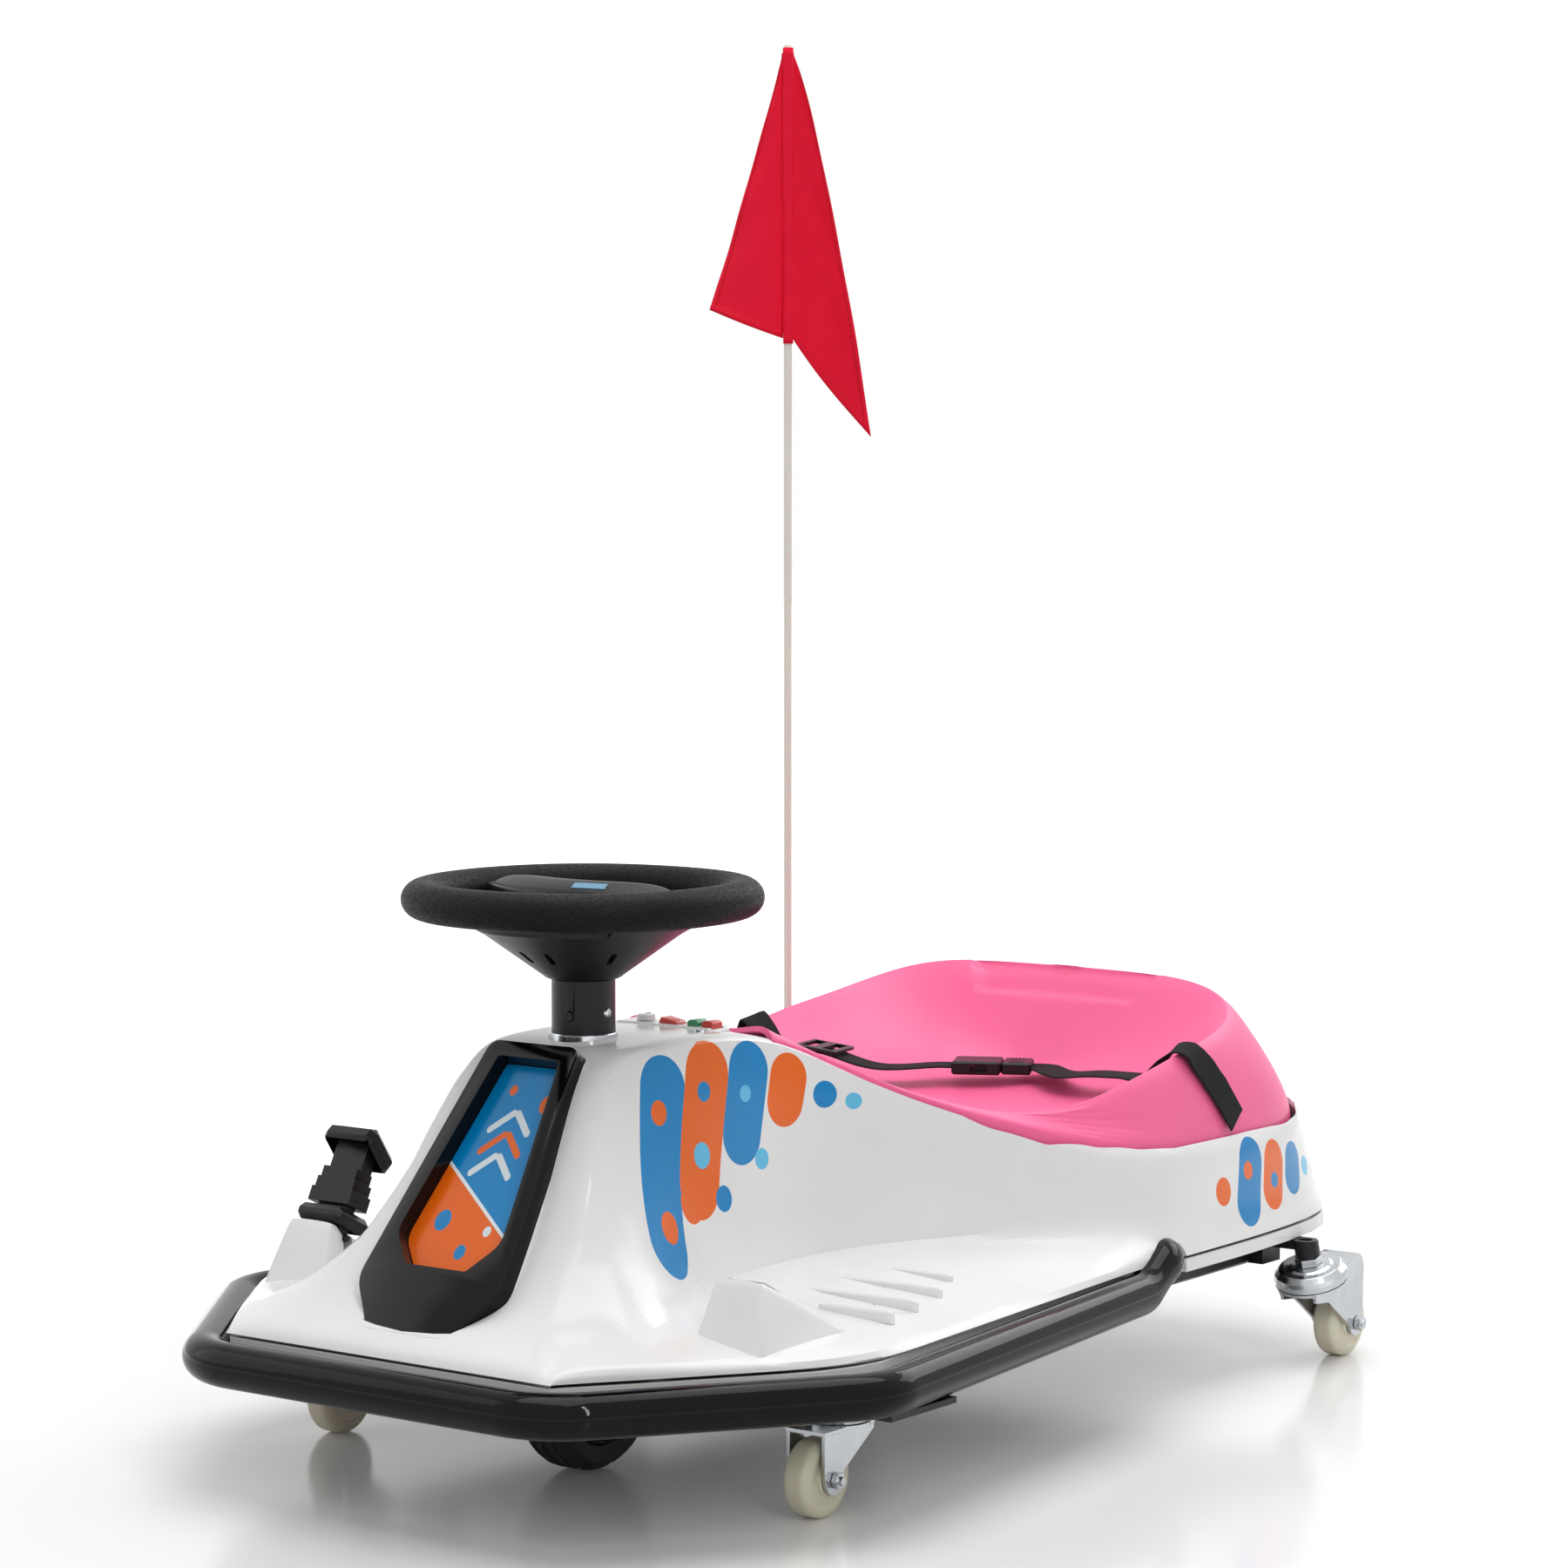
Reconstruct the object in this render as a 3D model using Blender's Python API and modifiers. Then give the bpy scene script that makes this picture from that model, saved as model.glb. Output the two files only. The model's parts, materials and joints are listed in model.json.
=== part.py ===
"""Ride-on electric drift car for a child: moulded body on a tubular steel frame, four casters and
one steered drive wheel under the steering column.

The car faces -Y, its left side is +X and +Z is up. Lengths are in metres. Pieces are laid out from
the steering axis, which the root empty places in the car's own frame, centred on the floor.
"""

import math

import bmesh
import bpy
from mathutils import Matrix, Vector
from mathutils.bvhtree import BVHTree

# Fits and gaps
GAP = 0.0003
RUNNING = 0.0003
LOOSE = 0.0016

# Body shell
WALL = 0.003
LIP_Z = 0.104
DECK_Z = 0.282
DECK_HALF = 0.058
DECK_REAR_Y = 0.118
NOSE_Y = -0.190
NOSE_HALF = 0.118
FOOT_DECK_Z = 0.119
EDGE_Z = 0.112
RIM_Z = 0.177
RIM_HALF = 0.203
REAR_HALF = 0.216
REAR_Y = 0.668
RIM_REAR_Y = 0.645

# Pan under the body
PAN_DEEP = 0.012
LIP_DROP = 0.0024
PAN_WALL = 0.003
PAN_INSET = 0.0012

# Bumper tube, on its centre line
TUBE_D = 0.0286
TUBE_Z = 0.088
TUBE_FRONT_Y = -0.2108
TUBE_FRONT_HALF = 0.1394
TUBE_WIDE_HALF = 0.264
TUBE_WIDE_Y = -0.040
TUBE_REAR_HALF = 0.2145
TUBE_HOOK_Y = 0.378
TUBE_BEND = 0.055
TUBE_HOOK_BEND = 0.026

# Frame
RAIL_W = 0.020
RAIL_H = 0.020
RAIL_X = 0.168
RAIL_FRONT_Y = -0.131
CROSS_Y = 0.088
CROSS_W = 0.025
STEEL = 0.004
BRACKET_LONG = 0.070

# Casters
CASTER_WHEEL_D = 0.050
CASTER_WHEEL_W = 0.022
CASTER_BOLT_D = 0.006
FORK_STEEL = 0.0025
FRONT_CASTER_X = 0.198
FRONT_CASTER_Y = 0.0064
FRONT_TRAIL = 0.024
PLATE_SIDE = 0.058
PLATE_THICK = 0.003
REAR_CASTER_X = 0.218
REAR_CASTER_Y = 0.562
REAR_HEAD_Z = 0.0657
REAR_TILT = math.radians(18)
REAR_TRAIL = 0.027
REAR_DROP = 0.0516
STEM_D = 0.018
KINGPIN_D = 0.010

# Drive unit
DRIVE_D = 0.100
DRIVE_W = 0.040
DRIVE_RIM_D = 0.066
DRIVE_AXLE_D = 0.010
YOKE_STEEL = 0.004
YOKE_TOP_Z = 0.112
YOKE_W = 0.034
MOTOR_D = 0.040
MOTOR_LONG = 0.046
WELL_R = 0.062

# Steering column and wheel
SHAFT_D = 0.016
SLEEVE_D = 0.0414
SLEEVE_TOP_Z = 0.319
WHEEL_Z = 0.371
WHEEL_OUTER_D = 0.228
RIM_TUBE_W = 0.027
RIM_TUBE_H = 0.025
HUB_MID_R = 0.064
HUB_MID_Z = 0.349
BRIDGE_Z = 0.118
BRIDGE_HALF = 0.025

# Bezel on the nose
BEZEL_TOP_Y = -0.046
BEZEL_TOP_Z = 0.280
BEZEL_LOW_Y = -0.152
BEZEL_LOW_Z = 0.140
BEZEL_TOP_HALF = 0.036
BEZEL_WIDE_HALF = 0.057
BEZEL_FOOT_HALF = 0.031
BEZEL_PROUD = 0.003
BEZEL_DEEP = 0.018
BEZEL_BAND = 0.011
BEZEL_SILL = 0.048
BEZEL_SINK = 0.009

# Foot blocks and the accelerator
BLOCK_IN_X = 0.151
BLOCK_OUT_X = 0.207
BLOCK_TOP_IN_X = 0.157
BLOCK_TOP_OUT_X = 0.1955
BLOCK_FRONT_Y = -0.086
BLOCK_TOP_Y = -0.068
BLOCK_TAIL_Y = 0.006
BLOCK_TOP_Z = 0.155
BLOCK_TAIL_Z = 0.117
BLOCK_TOP_LONG = 0.036
COLLAR_H = 0.011
PIVOT_SINK = 0.006
PIN_R = 0.0025
PIN_SEAT = 0.0025
STEP_LOW = PIVOT_SINK + COLLAR_H + 0.0036
PEDAL_W = 0.044
PEDAL_REACH = PIVOT_SINK + 0.056
PAD_LONG = 0.034
PAD_DEEP = 0.016
PAD_TILT = math.radians(-29)

# Controls behind the column
PANEL_Y = 0.092
PANEL_W = 0.084
PANEL_D = 0.030
PANEL_SINK = 0.0035
PANEL_PROUD = 0.002
PANEL_DEEP = 0.012

# Seat
SEAT_WALL = 0.004
SEAT_Z = 0.188
SEAT_BACK_Z = 0.276
SEAT_BACK_Y = 0.577
SEAT_WING_Z = 0.240
SEAT_SKIRT = 0.010
SEAT_ROLL = 0.010
RIM_INSET = 0.0012

# Belt, of flat webbing
BELT_W = 0.025
BELT_THICK = 0.0016
BELT_RISE = 0.0024
BUCKLE = (-0.009, 0.482, 0.207)
BUCKLE_TURN = math.radians(27.7)

# Flag
ROD_D = 0.006
ROD_X = -0.206
ROD_Y = 0.500
ROD_TOP_Z = 0.965
FLAG_TOP_Z = 0.962
FLAG_HOIST = 0.222
SOCKET_D = 0.011
CLOTH_THICK = 0.0010

# Battery and controller under the seat
BATTERY = (0.151, 0.094, 0.065)
BATTERY_Y = 0.380
CONTROLLER = (0.090, 0.055, 0.032)
CONTROLLER_Y = 0.250

PAN_Z = LIP_Z - PAN_DEEP
RAIL_TOP = PAN_Z - GAP
RAIL_Z = RAIL_TOP - RAIL_H / 2
TUBE_R = TUBE_D / 2
FRONT_Y = TUBE_FRONT_Y - TUBE_R
STEER_Y = -(FRONT_Y + REAR_Y + 0.0008) / 2


# Scene and materials


def clear_scene():
    for obj in list(bpy.data.objects):
        bpy.data.objects.remove(obj, do_unlink=True)


def collection(name):
    made = bpy.data.collections.new(name)
    bpy.context.scene.collection.children.link(made)
    return made


def material(name, colour, roughness, metallic=0.0):
    made = bpy.data.materials.new(name)
    made.use_nodes = True
    shader = made.node_tree.nodes["Principled BSDF"]
    shader.inputs["Base Color"].default_value = (*colour, 1.0)
    shader.inputs["Roughness"].default_value = roughness
    shader.inputs["Metallic"].default_value = metallic
    return made


clear_scene()
PARTS = collection("drift_car")
TOOLS = collection("drift_car_tools")

WHITE = material("white_moulding", (0.86, 0.87, 0.88), 0.18)
PINK = material("pink_seat", (0.95, 0.20, 0.42), 0.5)
BLACK = material("black_plastic", (0.015, 0.015, 0.017), 0.4)
GLOSS = material("gloss_black", (0.008, 0.008, 0.01), 0.12)
PAINT = material("black_paint", (0.01, 0.01, 0.012), 0.2)
ZINC = material("zinc_plate", (0.62, 0.66, 0.68), 0.3, 1.0)
NYLON = material("cream_nylon", (0.72, 0.68, 0.52), 0.45)
RUBBER = material("drive_tyre_rubber", (0.02, 0.02, 0.02), 0.8)
WEBBING = material("belt_webbing", (0.012, 0.012, 0.013), 0.85)
CLOTH = material("red_cloth", (0.75, 0.02, 0.04), 0.75)
RESIN = material("glass_fibre", (0.8, 0.79, 0.74), 0.45)
INSERT = material("blue_orange_panel", (0.02, 0.35, 0.62), 0.25)
RED = material("red_button", (0.72, 0.04, 0.03), 0.3)
GREEN = material("green_button", (0.03, 0.36, 0.22), 0.3)
CASE = material("battery_case", (0.08, 0.08, 0.09), 0.5)
ALLOY = material("controller_alloy", (0.55, 0.56, 0.58), 0.4, 1.0)


# Making objects


def empty(name, parent=None, at=(0, 0, 0), turn=(0, 0, 0)):
    made = bpy.data.objects.new(name, None)
    made.parent = parent
    made.location = at
    made.rotation_euler = turn
    PARTS.objects.link(made)
    return made


CAR = empty("drift_car_root", at=(0, STEER_Y, 0))


def add(name, mesh, skin, parent=CAR, at=(0, 0, 0), turn=(0, 0, 0)):
    """A named object in the car's collection, with its own copy of the material."""
    obj = bpy.data.objects.new(name, mesh)
    obj.parent = parent
    obj.location = at
    obj.rotation_euler = turn
    PARTS.objects.link(obj)
    if mesh.materials:
        mesh.materials.clear()
    mesh.materials.append(skin)
    return obj


def mesh_of(build, name):
    """A mesh filled by a function that works on a bmesh."""
    mesh = bpy.data.meshes.new(name)
    shape = bmesh.new()
    build(shape)
    bmesh.ops.recalc_face_normals(shape, faces=shape.faces)
    shape.to_mesh(mesh)
    shape.free()
    return mesh


def smooth(obj, angle=35):
    obj.data.shade_smooth()
    obj.data.set_sharp_from_angle(angle=math.radians(angle))
    return obj


def box_mesh(name, size):
    def build(shape):
        bmesh.ops.create_cube(shape, size=1.0, matrix=Matrix.Diagonal((*size, 1.0)))

    return mesh_of(build, name)


def box(name, skin, size, centre=(0, 0, 0), bevel=0.0, parent=CAR, turn=(0, 0, 0)):
    obj = add(name, box_mesh(name, size), skin, parent, centre, turn)
    if bevel:
        rounded(obj, bevel)
    return obj


def rounded(obj, width, segments=1):
    edge = obj.modifiers.new("rounded_edges", "BEVEL")
    edge.width = width
    edge.segments = segments
    edge.limit_method = "ANGLE"
    edge.angle_limit = math.radians(30)
    return obj


def tool_box(name, size, centre, parent=CAR, turn=(0, 0, 0)):
    return as_tool(add(name, box_mesh(name, size), WHITE, parent, centre, turn))


def rod_mesh(name, radius, length, sides, axis):
    """A cylinder centred on the origin along an axis."""
    quarter = math.pi / 2
    turn = {"Z": Matrix(), "X": Matrix.Rotation(quarter, 4, "Y"), "Y": Matrix.Rotation(-quarter, 4, "X")}

    def build(shape):
        bmesh.ops.create_cone(
            shape,
            cap_ends=True,
            segments=sides,
            radius1=radius,
            radius2=radius,
            depth=length,
            matrix=turn[axis],
        )

    return mesh_of(build, name)


def rod(name, skin, radius, length, centre, axis="Z", sides=24, parent=CAR, turn=(0, 0, 0)):
    return smooth(add(name, rod_mesh(name, radius, length, sides, axis), skin, parent, centre, turn))


def tool_rod(name, radius, length, centre, axis="Z", sides=24, parent=CAR, turn=(0, 0, 0)):
    return as_tool(rod(name, WHITE, radius, length, centre, axis, sides, parent, turn))


def turned(name, skin, profile, steps=24, parent=CAR, at=(0, 0, 0), turn=(0, 0, 0), ring=False):
    """A turned piece: a profile of (radius, height) swept round Z. A ring's profile is a closed loop."""
    mesh = bpy.data.meshes.new(name)
    edges = [(i, i + 1) for i in range(len(profile) - 1)]
    if ring:
        edges.append((len(profile) - 1, 0))
    mesh.from_pydata([(r, 0, z) for r, z in profile], edges, [])
    obj = add(name, mesh, skin, parent, at, turn)
    sweep = obj.modifiers.new("turned", "SCREW")
    sweep.steps = steps
    sweep.render_steps = steps
    sweep.use_merge_vertices = True
    sweep.merge_threshold = 0.00001
    sweep.use_smooth_shade = True
    return obj


def plate(name, skin, outline, thickness, parent=CAR, at=(0, 0, 0), turn=(0, 0, 0), bevel=0.0):
    """A flat outline in its own XY plane, thickened evenly to both sides of it, as a mesh."""
    curve = bpy.data.curves.new(name, "CURVE")
    curve.dimensions = "2D"
    curve.fill_mode = "BOTH"
    curve.extrude = thickness / 2
    spline = curve.splines.new("POLY")
    spline.points.add(len(outline) - 1)
    for point, (x, y) in zip(spline.points, outline):
        point.co = (x, y, 0, 1)
    spline.use_cyclic_u = True
    flat = add(name + "_outline", curve, skin, parent, at, turn)
    obj = as_mesh(flat, name)
    if bevel:
        rounded(obj, bevel)
    return obj


def swept(name, skin, points, radius, sides=2):
    """A round bar along a line of points, as a mesh with filled ends."""
    curve = bpy.data.curves.new(name, "CURVE")
    curve.dimensions = "3D"
    curve.bevel_depth = radius
    curve.bevel_resolution = sides
    curve.use_fill_caps = True
    spline = curve.splines.new("POLY")
    spline.points.add(len(points) - 1)
    for point, place in zip(spline.points, points):
        point.co = (*place, 1)
    line = add(name + "_line", curve, skin)
    return smooth(as_mesh(line, name))


def as_mesh(curve_object, name):
    """A curve object made a mesh object, with its caps welded on."""
    bpy.context.view_layer.update()
    graph = bpy.context.evaluated_depsgraph_get()
    mesh = bpy.data.meshes.new_from_object(curve_object.evaluated_get(graph))
    shape = bmesh.new()
    shape.from_mesh(mesh)
    bmesh.ops.remove_doubles(shape, verts=shape.verts, dist=0.00001)
    bmesh.ops.recalc_face_normals(shape, faces=shape.faces)
    shape.to_mesh(mesh)
    shape.free()
    skin = curve_object.data.materials[0]
    obj = add(name, mesh, skin, curve_object.parent, curve_object.location, curve_object.rotation_euler)
    bpy.data.objects.remove(curve_object, do_unlink=True)
    return obj


def as_tool(obj):
    """Keeps an object as a cutter or a joining shape only."""
    PARTS.objects.unlink(obj)
    TOOLS.objects.link(obj)
    obj.hide_render = True
    obj.display_type = "WIRE"
    return obj


def boolean(obj, tool, operation="DIFFERENCE"):
    if tool.name not in TOOLS.objects:
        as_tool(tool)
    change = obj.modifiers.new(tool.name[:40], "BOOLEAN")
    change.operation = operation
    change.solver = "EXACT"
    change.object = tool
    return obj


def join(obj, *tools):
    for tool in tools:
        boolean(obj, tool, "UNION")
    return obj


def cut(obj, *tools):
    for tool in tools:
        boolean(obj, tool)
    return obj


# Curves in the plane


def arc(centre, radius, start, end, count):
    """Points on an arc, both ends included; angles in degrees."""
    turns = [math.radians(start + (end - start) * i / (count - 1)) for i in range(count)]
    return [(centre[0] + radius * math.cos(t), centre[1] + radius * math.sin(t)) for t in turns]


def fillet_path(corners, radii, count=6):
    """An open path through 2D corners with each inner corner rounded to its radius."""
    path = [Vector(corners[0])]
    for before, corner, after, radius in zip(corners, corners[1:], corners[2:], radii):
        corner = Vector(corner)
        to_before = (Vector(before) - corner).normalized()
        to_after = (Vector(after) - corner).normalized()
        half = to_before.angle(to_after) / 2
        reach = radius / math.tan(half)
        middle = corner + (to_before + to_after).normalized() * (radius / math.sin(half))
        first = corner + to_before * reach - middle
        last = corner + to_after * reach - middle
        for i in range(count):
            path.append(middle + first.slerp(last, i / (count - 1)) * radius)
    path.append(Vector(corners[-1]))
    return path


def smooth_through(points, count):
    """A smooth line through 3D points, with count steps between each two."""
    points = [Vector(p) for p in points]
    line = [2 * points[0] - points[1], *points, 2 * points[-1] - points[-2]]
    found = []
    for a, b, c, d in zip(line, line[1:], line[2:], line[3:]):
        bend = 2 * a - 5 * b + 4 * c - d
        twist = 3 * b - a - 3 * c + d
        for i in range(count):
            t = i / count
            found.append(0.5 * (2 * b + (c - a) * t + bend * t**2 + twist * t**3))
    found.append(line[-2])
    return found


# Bumper tube


def tube_path(inner_x):
    """Half of the bumper's centre line, from the middle of the front to its hooked end."""
    corners = [
        (0, TUBE_FRONT_Y),
        (TUBE_FRONT_HALF, TUBE_FRONT_Y),
        (TUBE_WIDE_HALF, TUBE_WIDE_Y),
        (TUBE_REAR_HALF, TUBE_HOOK_Y),
        (inner_x, TUBE_HOOK_Y),
    ]
    return fillet_path(corners, [TUBE_BEND, TUBE_BEND, TUBE_HOOK_BEND], 5)


def bumper_tube():
    left = tube_path(RAIL_X + RAIL_W / 2 + GAP)
    right = [(-x, y) for x, y in left[:0:-1]]
    points = [(x, y, TUBE_Z) for x, y in right + [tuple(p) for p in left[1:]]]
    return swept("bumper_tube", PAINT, points, TUBE_R, sides=3)


# Body shell

EDGE_GAP = TUBE_R + 0.0017
EDGE_OVER_TUBE = 0.0025


def tube_x(y):
    """Half the distance between the bumper's sides, on the tube's centre line."""
    if y < TUBE_WIDE_Y:
        a, b = (TUBE_FRONT_HALF, TUBE_FRONT_Y), (TUBE_WIDE_HALF, TUBE_WIDE_Y)
    else:
        a, b = (TUBE_WIDE_HALF, TUBE_WIDE_Y), (TUBE_REAR_HALF, TUBE_HOOK_Y)
    return a[0] + (b[0] - a[0]) * (y - a[1]) / (b[1] - a[1])


def edge_x(y):
    """Half the width of the body's lip: inside the tube in front, over it towards the hooked end."""
    if y < TUBE_WIDE_Y:
        slope = (TUBE_WIDE_HALF - TUBE_FRONT_HALF) / (TUBE_WIDE_Y - TUBE_FRONT_Y)
        return tube_x(y) - EDGE_GAP * math.hypot(1, slope)
    share = (y - TUBE_WIDE_Y) / (TUBE_HOOK_Y - TUBE_WIDE_Y)
    return tube_x(y) - EDGE_GAP + share * (EDGE_GAP - EDGE_OVER_TUBE)


class Station:
    """One rib of the body's half: ridge or rim point, wall foot, outer edge and the swell of the nose."""

    def __init__(self, rim, foot, edge, swell=0.0):
        self.swell = swell
        self.rim = Vector(rim)
        self.foot = Vector(foot)
        self.edge = Vector(edge)


def stations():
    """The ribs from the front edge, along the tunnel and the hips, to the middle of the tail."""
    deck = FOOT_DECK_Z
    half = DECK_HALF
    edge = EDGE_Z
    nose = NOSE_Y
    tail = REAR_Y
    made = [
        Station((NOSE_HALF, nose, edge + 0.002), (0.126, nose + 0.002, edge + 0.001), (0.1315, nose, edge)),
        Station((0.104, -0.158, 0.124), (0.142, -0.152, deck - 0.003), (edge_x(-0.150), -0.150, edge)),
        Station((0.092, -0.126, 0.148), (0.138, -0.112, deck - 0.001), (edge_x(-0.100), -0.100, edge), 0.005),
        Station((0.075, -0.097, 0.186), (0.120, -0.066, deck), (edge_x(-0.055), -0.055, edge), 0.006),
        Station((0.063, -0.070, 0.236), (0.099, -0.026, deck), (edge_x(-0.010), -0.010, edge), 0.002),
        Station((half - 0.003, -0.046, DECK_Z - 0.006), (0.086, 0.010, deck), (edge_x(0.030), 0.030, edge)),
        Station((half - 0.002, -0.020, DECK_Z), (0.078, 0.046, deck), (edge_x(0.070), 0.070, edge)),
        Station((half, 0.056, DECK_Z - 0.001), (0.075, 0.100, deck), (edge_x(0.118), 0.118, edge)),
        Station((half + 0.002, 0.106, DECK_Z - 0.004), (0.076, 0.132, deck), (edge_x(0.155), 0.155, edge)),
        Station((0.067, 0.145, 0.264), (0.082, 0.163, deck + 0.001), (edge_x(0.190), 0.190, edge)),
        Station((0.086, 0.186, 0.241), (0.100, 0.199, deck + 0.003), (edge_x(0.225), 0.225, edge)),
        Station((0.130, 0.237, 0.214), (0.141, 0.246, deck + 0.006), (edge_x(0.270), 0.270, edge)),
        Station((0.168, 0.287, 0.198), (0.178, 0.294, deck + 0.007), (edge_x(0.315), 0.315, edge + 0.003)),
        Station((0.191, 0.338, 0.186), (0.203, 0.342, deck + 0.006), (REAR_HALF, 0.352, edge + 0.002)),
        Station((0.200, 0.392, RIM_Z + 0.003), (0.212, 0.392, deck + 0.004), (REAR_HALF, 0.394, edge)),
        Station((RIM_HALF, 0.482, RIM_Z), (0.2125, 0.484, deck + 0.004), (REAR_HALF, 0.486, edge)),
        Station((0.194, 0.570, RIM_Z + 0.004), (0.2055, 0.582, deck + 0.004), (0.2095, 0.588, edge)),
        Station((0.176, 0.612, RIM_Z + 0.007), (0.187, 0.630, deck + 0.004), (0.190, 0.637, edge)),
        Station((0.142, 0.638, RIM_Z + 0.008), (0.150, 0.654, deck + 0.004), (0.153, 0.662, edge)),
        Station((0.096, RIM_REAR_Y, RIM_Z + 0.008), (0.102, tail - 0.007, deck + 0.004), (0.104, tail, edge)),
    ]
    return made


RIBS = stations()
SHOULDER = 0.007
FOOT_RISE = 0.013


def rib_points(rib):
    """The rib's cage points, from the middle of the top to the foot of the lip."""
    out = (rib.edge - rib.rim).to_2d().normalized().to_3d()
    shoulder = rib.rim + out * SHOULDER - Vector((0, 0, 0.003))
    high = rib.foot.z + FOOT_RISE < shoulder.z - 0.01
    rise = FOOT_RISE if high else (shoulder.z - rib.foot.z) / 2
    low = rib.foot + Vector((0, 0, rise)) - out * 0.001
    reach = min(FOOT_RISE, (rib.edge - rib.foot).to_2d().length / 3)
    deck = rib.foot + out * reach
    lip = Vector((rib.edge.x, rib.edge.y, LIP_Z)) + out * 0.0008
    centre = Vector((0, rib.rim.y - rib.swell, rib.rim.z + 0.0006))
    quarter = Vector((rib.rim.x * 0.62, rib.rim.y - rib.swell * 0.8, rib.rim.z + 0.0003))
    return [centre, quarter, rib.rim, shoulder, low, deck, rib.edge, lip]


def dropped(points, y, share=1.0):
    """The cage points' copies on the lip's bottom plane, along the front or the tail."""
    return [Vector((p.x * share, y, LIP_Z)) for p in points]


def belly_row(points, foot):
    """The row below the last rib, round the foot of the tail."""
    row = []
    for p in points:
        z = foot.z if p.z > foot.z else (p.z + LIP_Z) / 2
        row.append(Vector((p.x * 0.9, max(p.y, foot.y), z)))
    return row


def cage_rows():
    rows = [rib_points(rib) for rib in RIBS]
    belly = belly_row(rows[-1], RIBS[-1].foot)
    front = dropped(rows[0], NOSE_Y - 0.0045)
    tail = dropped(rows[-1], rows[-1][-1].y, 0.8)
    return [front, *rows, belly, tail]


def body_cage():
    grid = cage_rows()

    def build(shape):
        places = [[shape.verts.new(p) for p in row] for row in grid]
        for a, b in zip(places, places[1:]):
            for i in range(len(a) - 1):
                shape.faces.new((a[i], a[i + 1], b[i + 1], b[i]))

    return mesh_of(build, "body_shell")


def rim_line(inset):
    """The seat opening's edge on the left side, front to tail, drawn in by inset, as (x, y, z)."""
    line = smooth_through([rib.rim for rib in RIBS if rib.rim.y > 0.05], 3)
    found = []
    for before, here, after in zip(line, line[1:], line[2:]):
        along = (after - before).to_2d().normalized()
        if here.y > DECK_REAR_Y + 0.004 or here.x > DECK_HALF + 0.03:
            found.append(here + Vector((-along.y, along.x, 0)) * inset)
    first = found[0].copy()
    first.y = DECK_REAR_Y + inset
    last = line[-1] + Vector((0, -inset, 0))
    return [first, *found, last]


SEAT_SHARES = (0.0, 0.075, 0.175, 0.295, 0.405, 0.505, 0.625, 0.715, 0.80, 0.875, 0.935, 1.0)


def softened(line):
    """An open line as one step of the soft form leaves it, its ends kept."""
    fine = [line[0]]
    for before, here, after in zip(line, line[1:], line[2:]):
        fine += [(before + here) / 2, (before + 6 * here + after) / 8]
    return [*fine, (line[-2] + line[-1]) / 2, line[-1]]


def seat_feet():
    """Cage points on the left of the seat's foot, set so that its soft form meets the rim's line."""
    line = rim_line(RIM_INSET)
    line.append(Vector((0, line[-1].y, line[-1].z)))
    goal = [point_along(line, share) for share in SEAT_SHARES]
    feet = [p.copy() for p in goal]
    for _ in range(8):
        for i in range(1, len(feet) - 1):
            feet[i] += goal[i] - (feet[i - 1] + 6 * feet[i] + feet[i + 1]) / 8
    return feet


def opening_tool():
    """The seat opening: the seat's own foot line with a clearance round it."""
    line = softened(seat_feet())
    half = []
    for i, here in enumerate(line[:-1]):
        along = (line[i + 1] - line[max(i - 1, 0)]).to_2d().normalized()
        half.append(here + Vector((along.y, -along.x, 0)) * LOOSE)
    half[0] = Vector((line[0].x + LOOSE, DECK_REAR_Y, line[0].z))
    half.append(line[-1] + Vector((0, LOOSE, 0)))
    deep, high = 0.016, 0.060

    def build(shape):
        right = [Vector((-p.x, p.y, p.z)) for p in reversed(half[:-1])]
        loop = half + right
        low = [shape.verts.new(p - Vector((0, 0, deep))) for p in loop]
        top = [shape.verts.new(p + Vector((0, 0, high))) for p in loop]
        count = len(loop)
        for i in range(count):
            k = (i + 1) % count
            shape.faces.new((low[i], low[k], top[k], top[i]))
        last = len(half) - 1
        for row in (low, top):
            for i in range(last):
                corners = [row[i], row[i + 1], row[count - 2 - i], row[count - 1 - i]]
                shape.faces.new(list(dict.fromkeys(corners)))

    return as_tool(add("seat_opening", mesh_of(build, "seat_opening"), WHITE))


def face_frame():
    """Place and turn of the nose's sloping face: its own X runs up the slope's left, Y up the slope."""
    run = Vector((0, BEZEL_TOP_Y - BEZEL_LOW_Y, BEZEL_TOP_Z - BEZEL_LOW_Z))
    lean = math.atan2(run.z, run.y)
    return run.length, Vector((0, BEZEL_LOW_Y, BEZEL_LOW_Z)), lean


BEZEL_FOOT = -0.034


def bezel_outline(inset, sill=None):
    """The bezel's outline in the plane of the nose's face, drawn in by inset, the foot by sill."""
    length, _, _ = face_frame()
    sill = inset if sill is None else sill
    rise = sill - inset
    corners = [
        (BEZEL_FOOT_HALF - inset * 0.6, BEZEL_FOOT + sill),
        (BEZEL_WIDE_HALF - inset - rise * 0.10, inset * 0.5 + rise * 0.8),
        (BEZEL_TOP_HALF - inset, length - inset),
    ]
    closed = corners + [(-x, y) for x, y in reversed(corners)]
    ring = closed[-1:] + closed + closed[:1]
    radii = [0.010, 0.022, 0.008]
    radii = [max(r - inset * 0.5, 0.002) for r in radii + radii[::-1]]
    return [tuple(p) for p in fillet_path(ring, radii, 5)[1:-1]]


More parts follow.
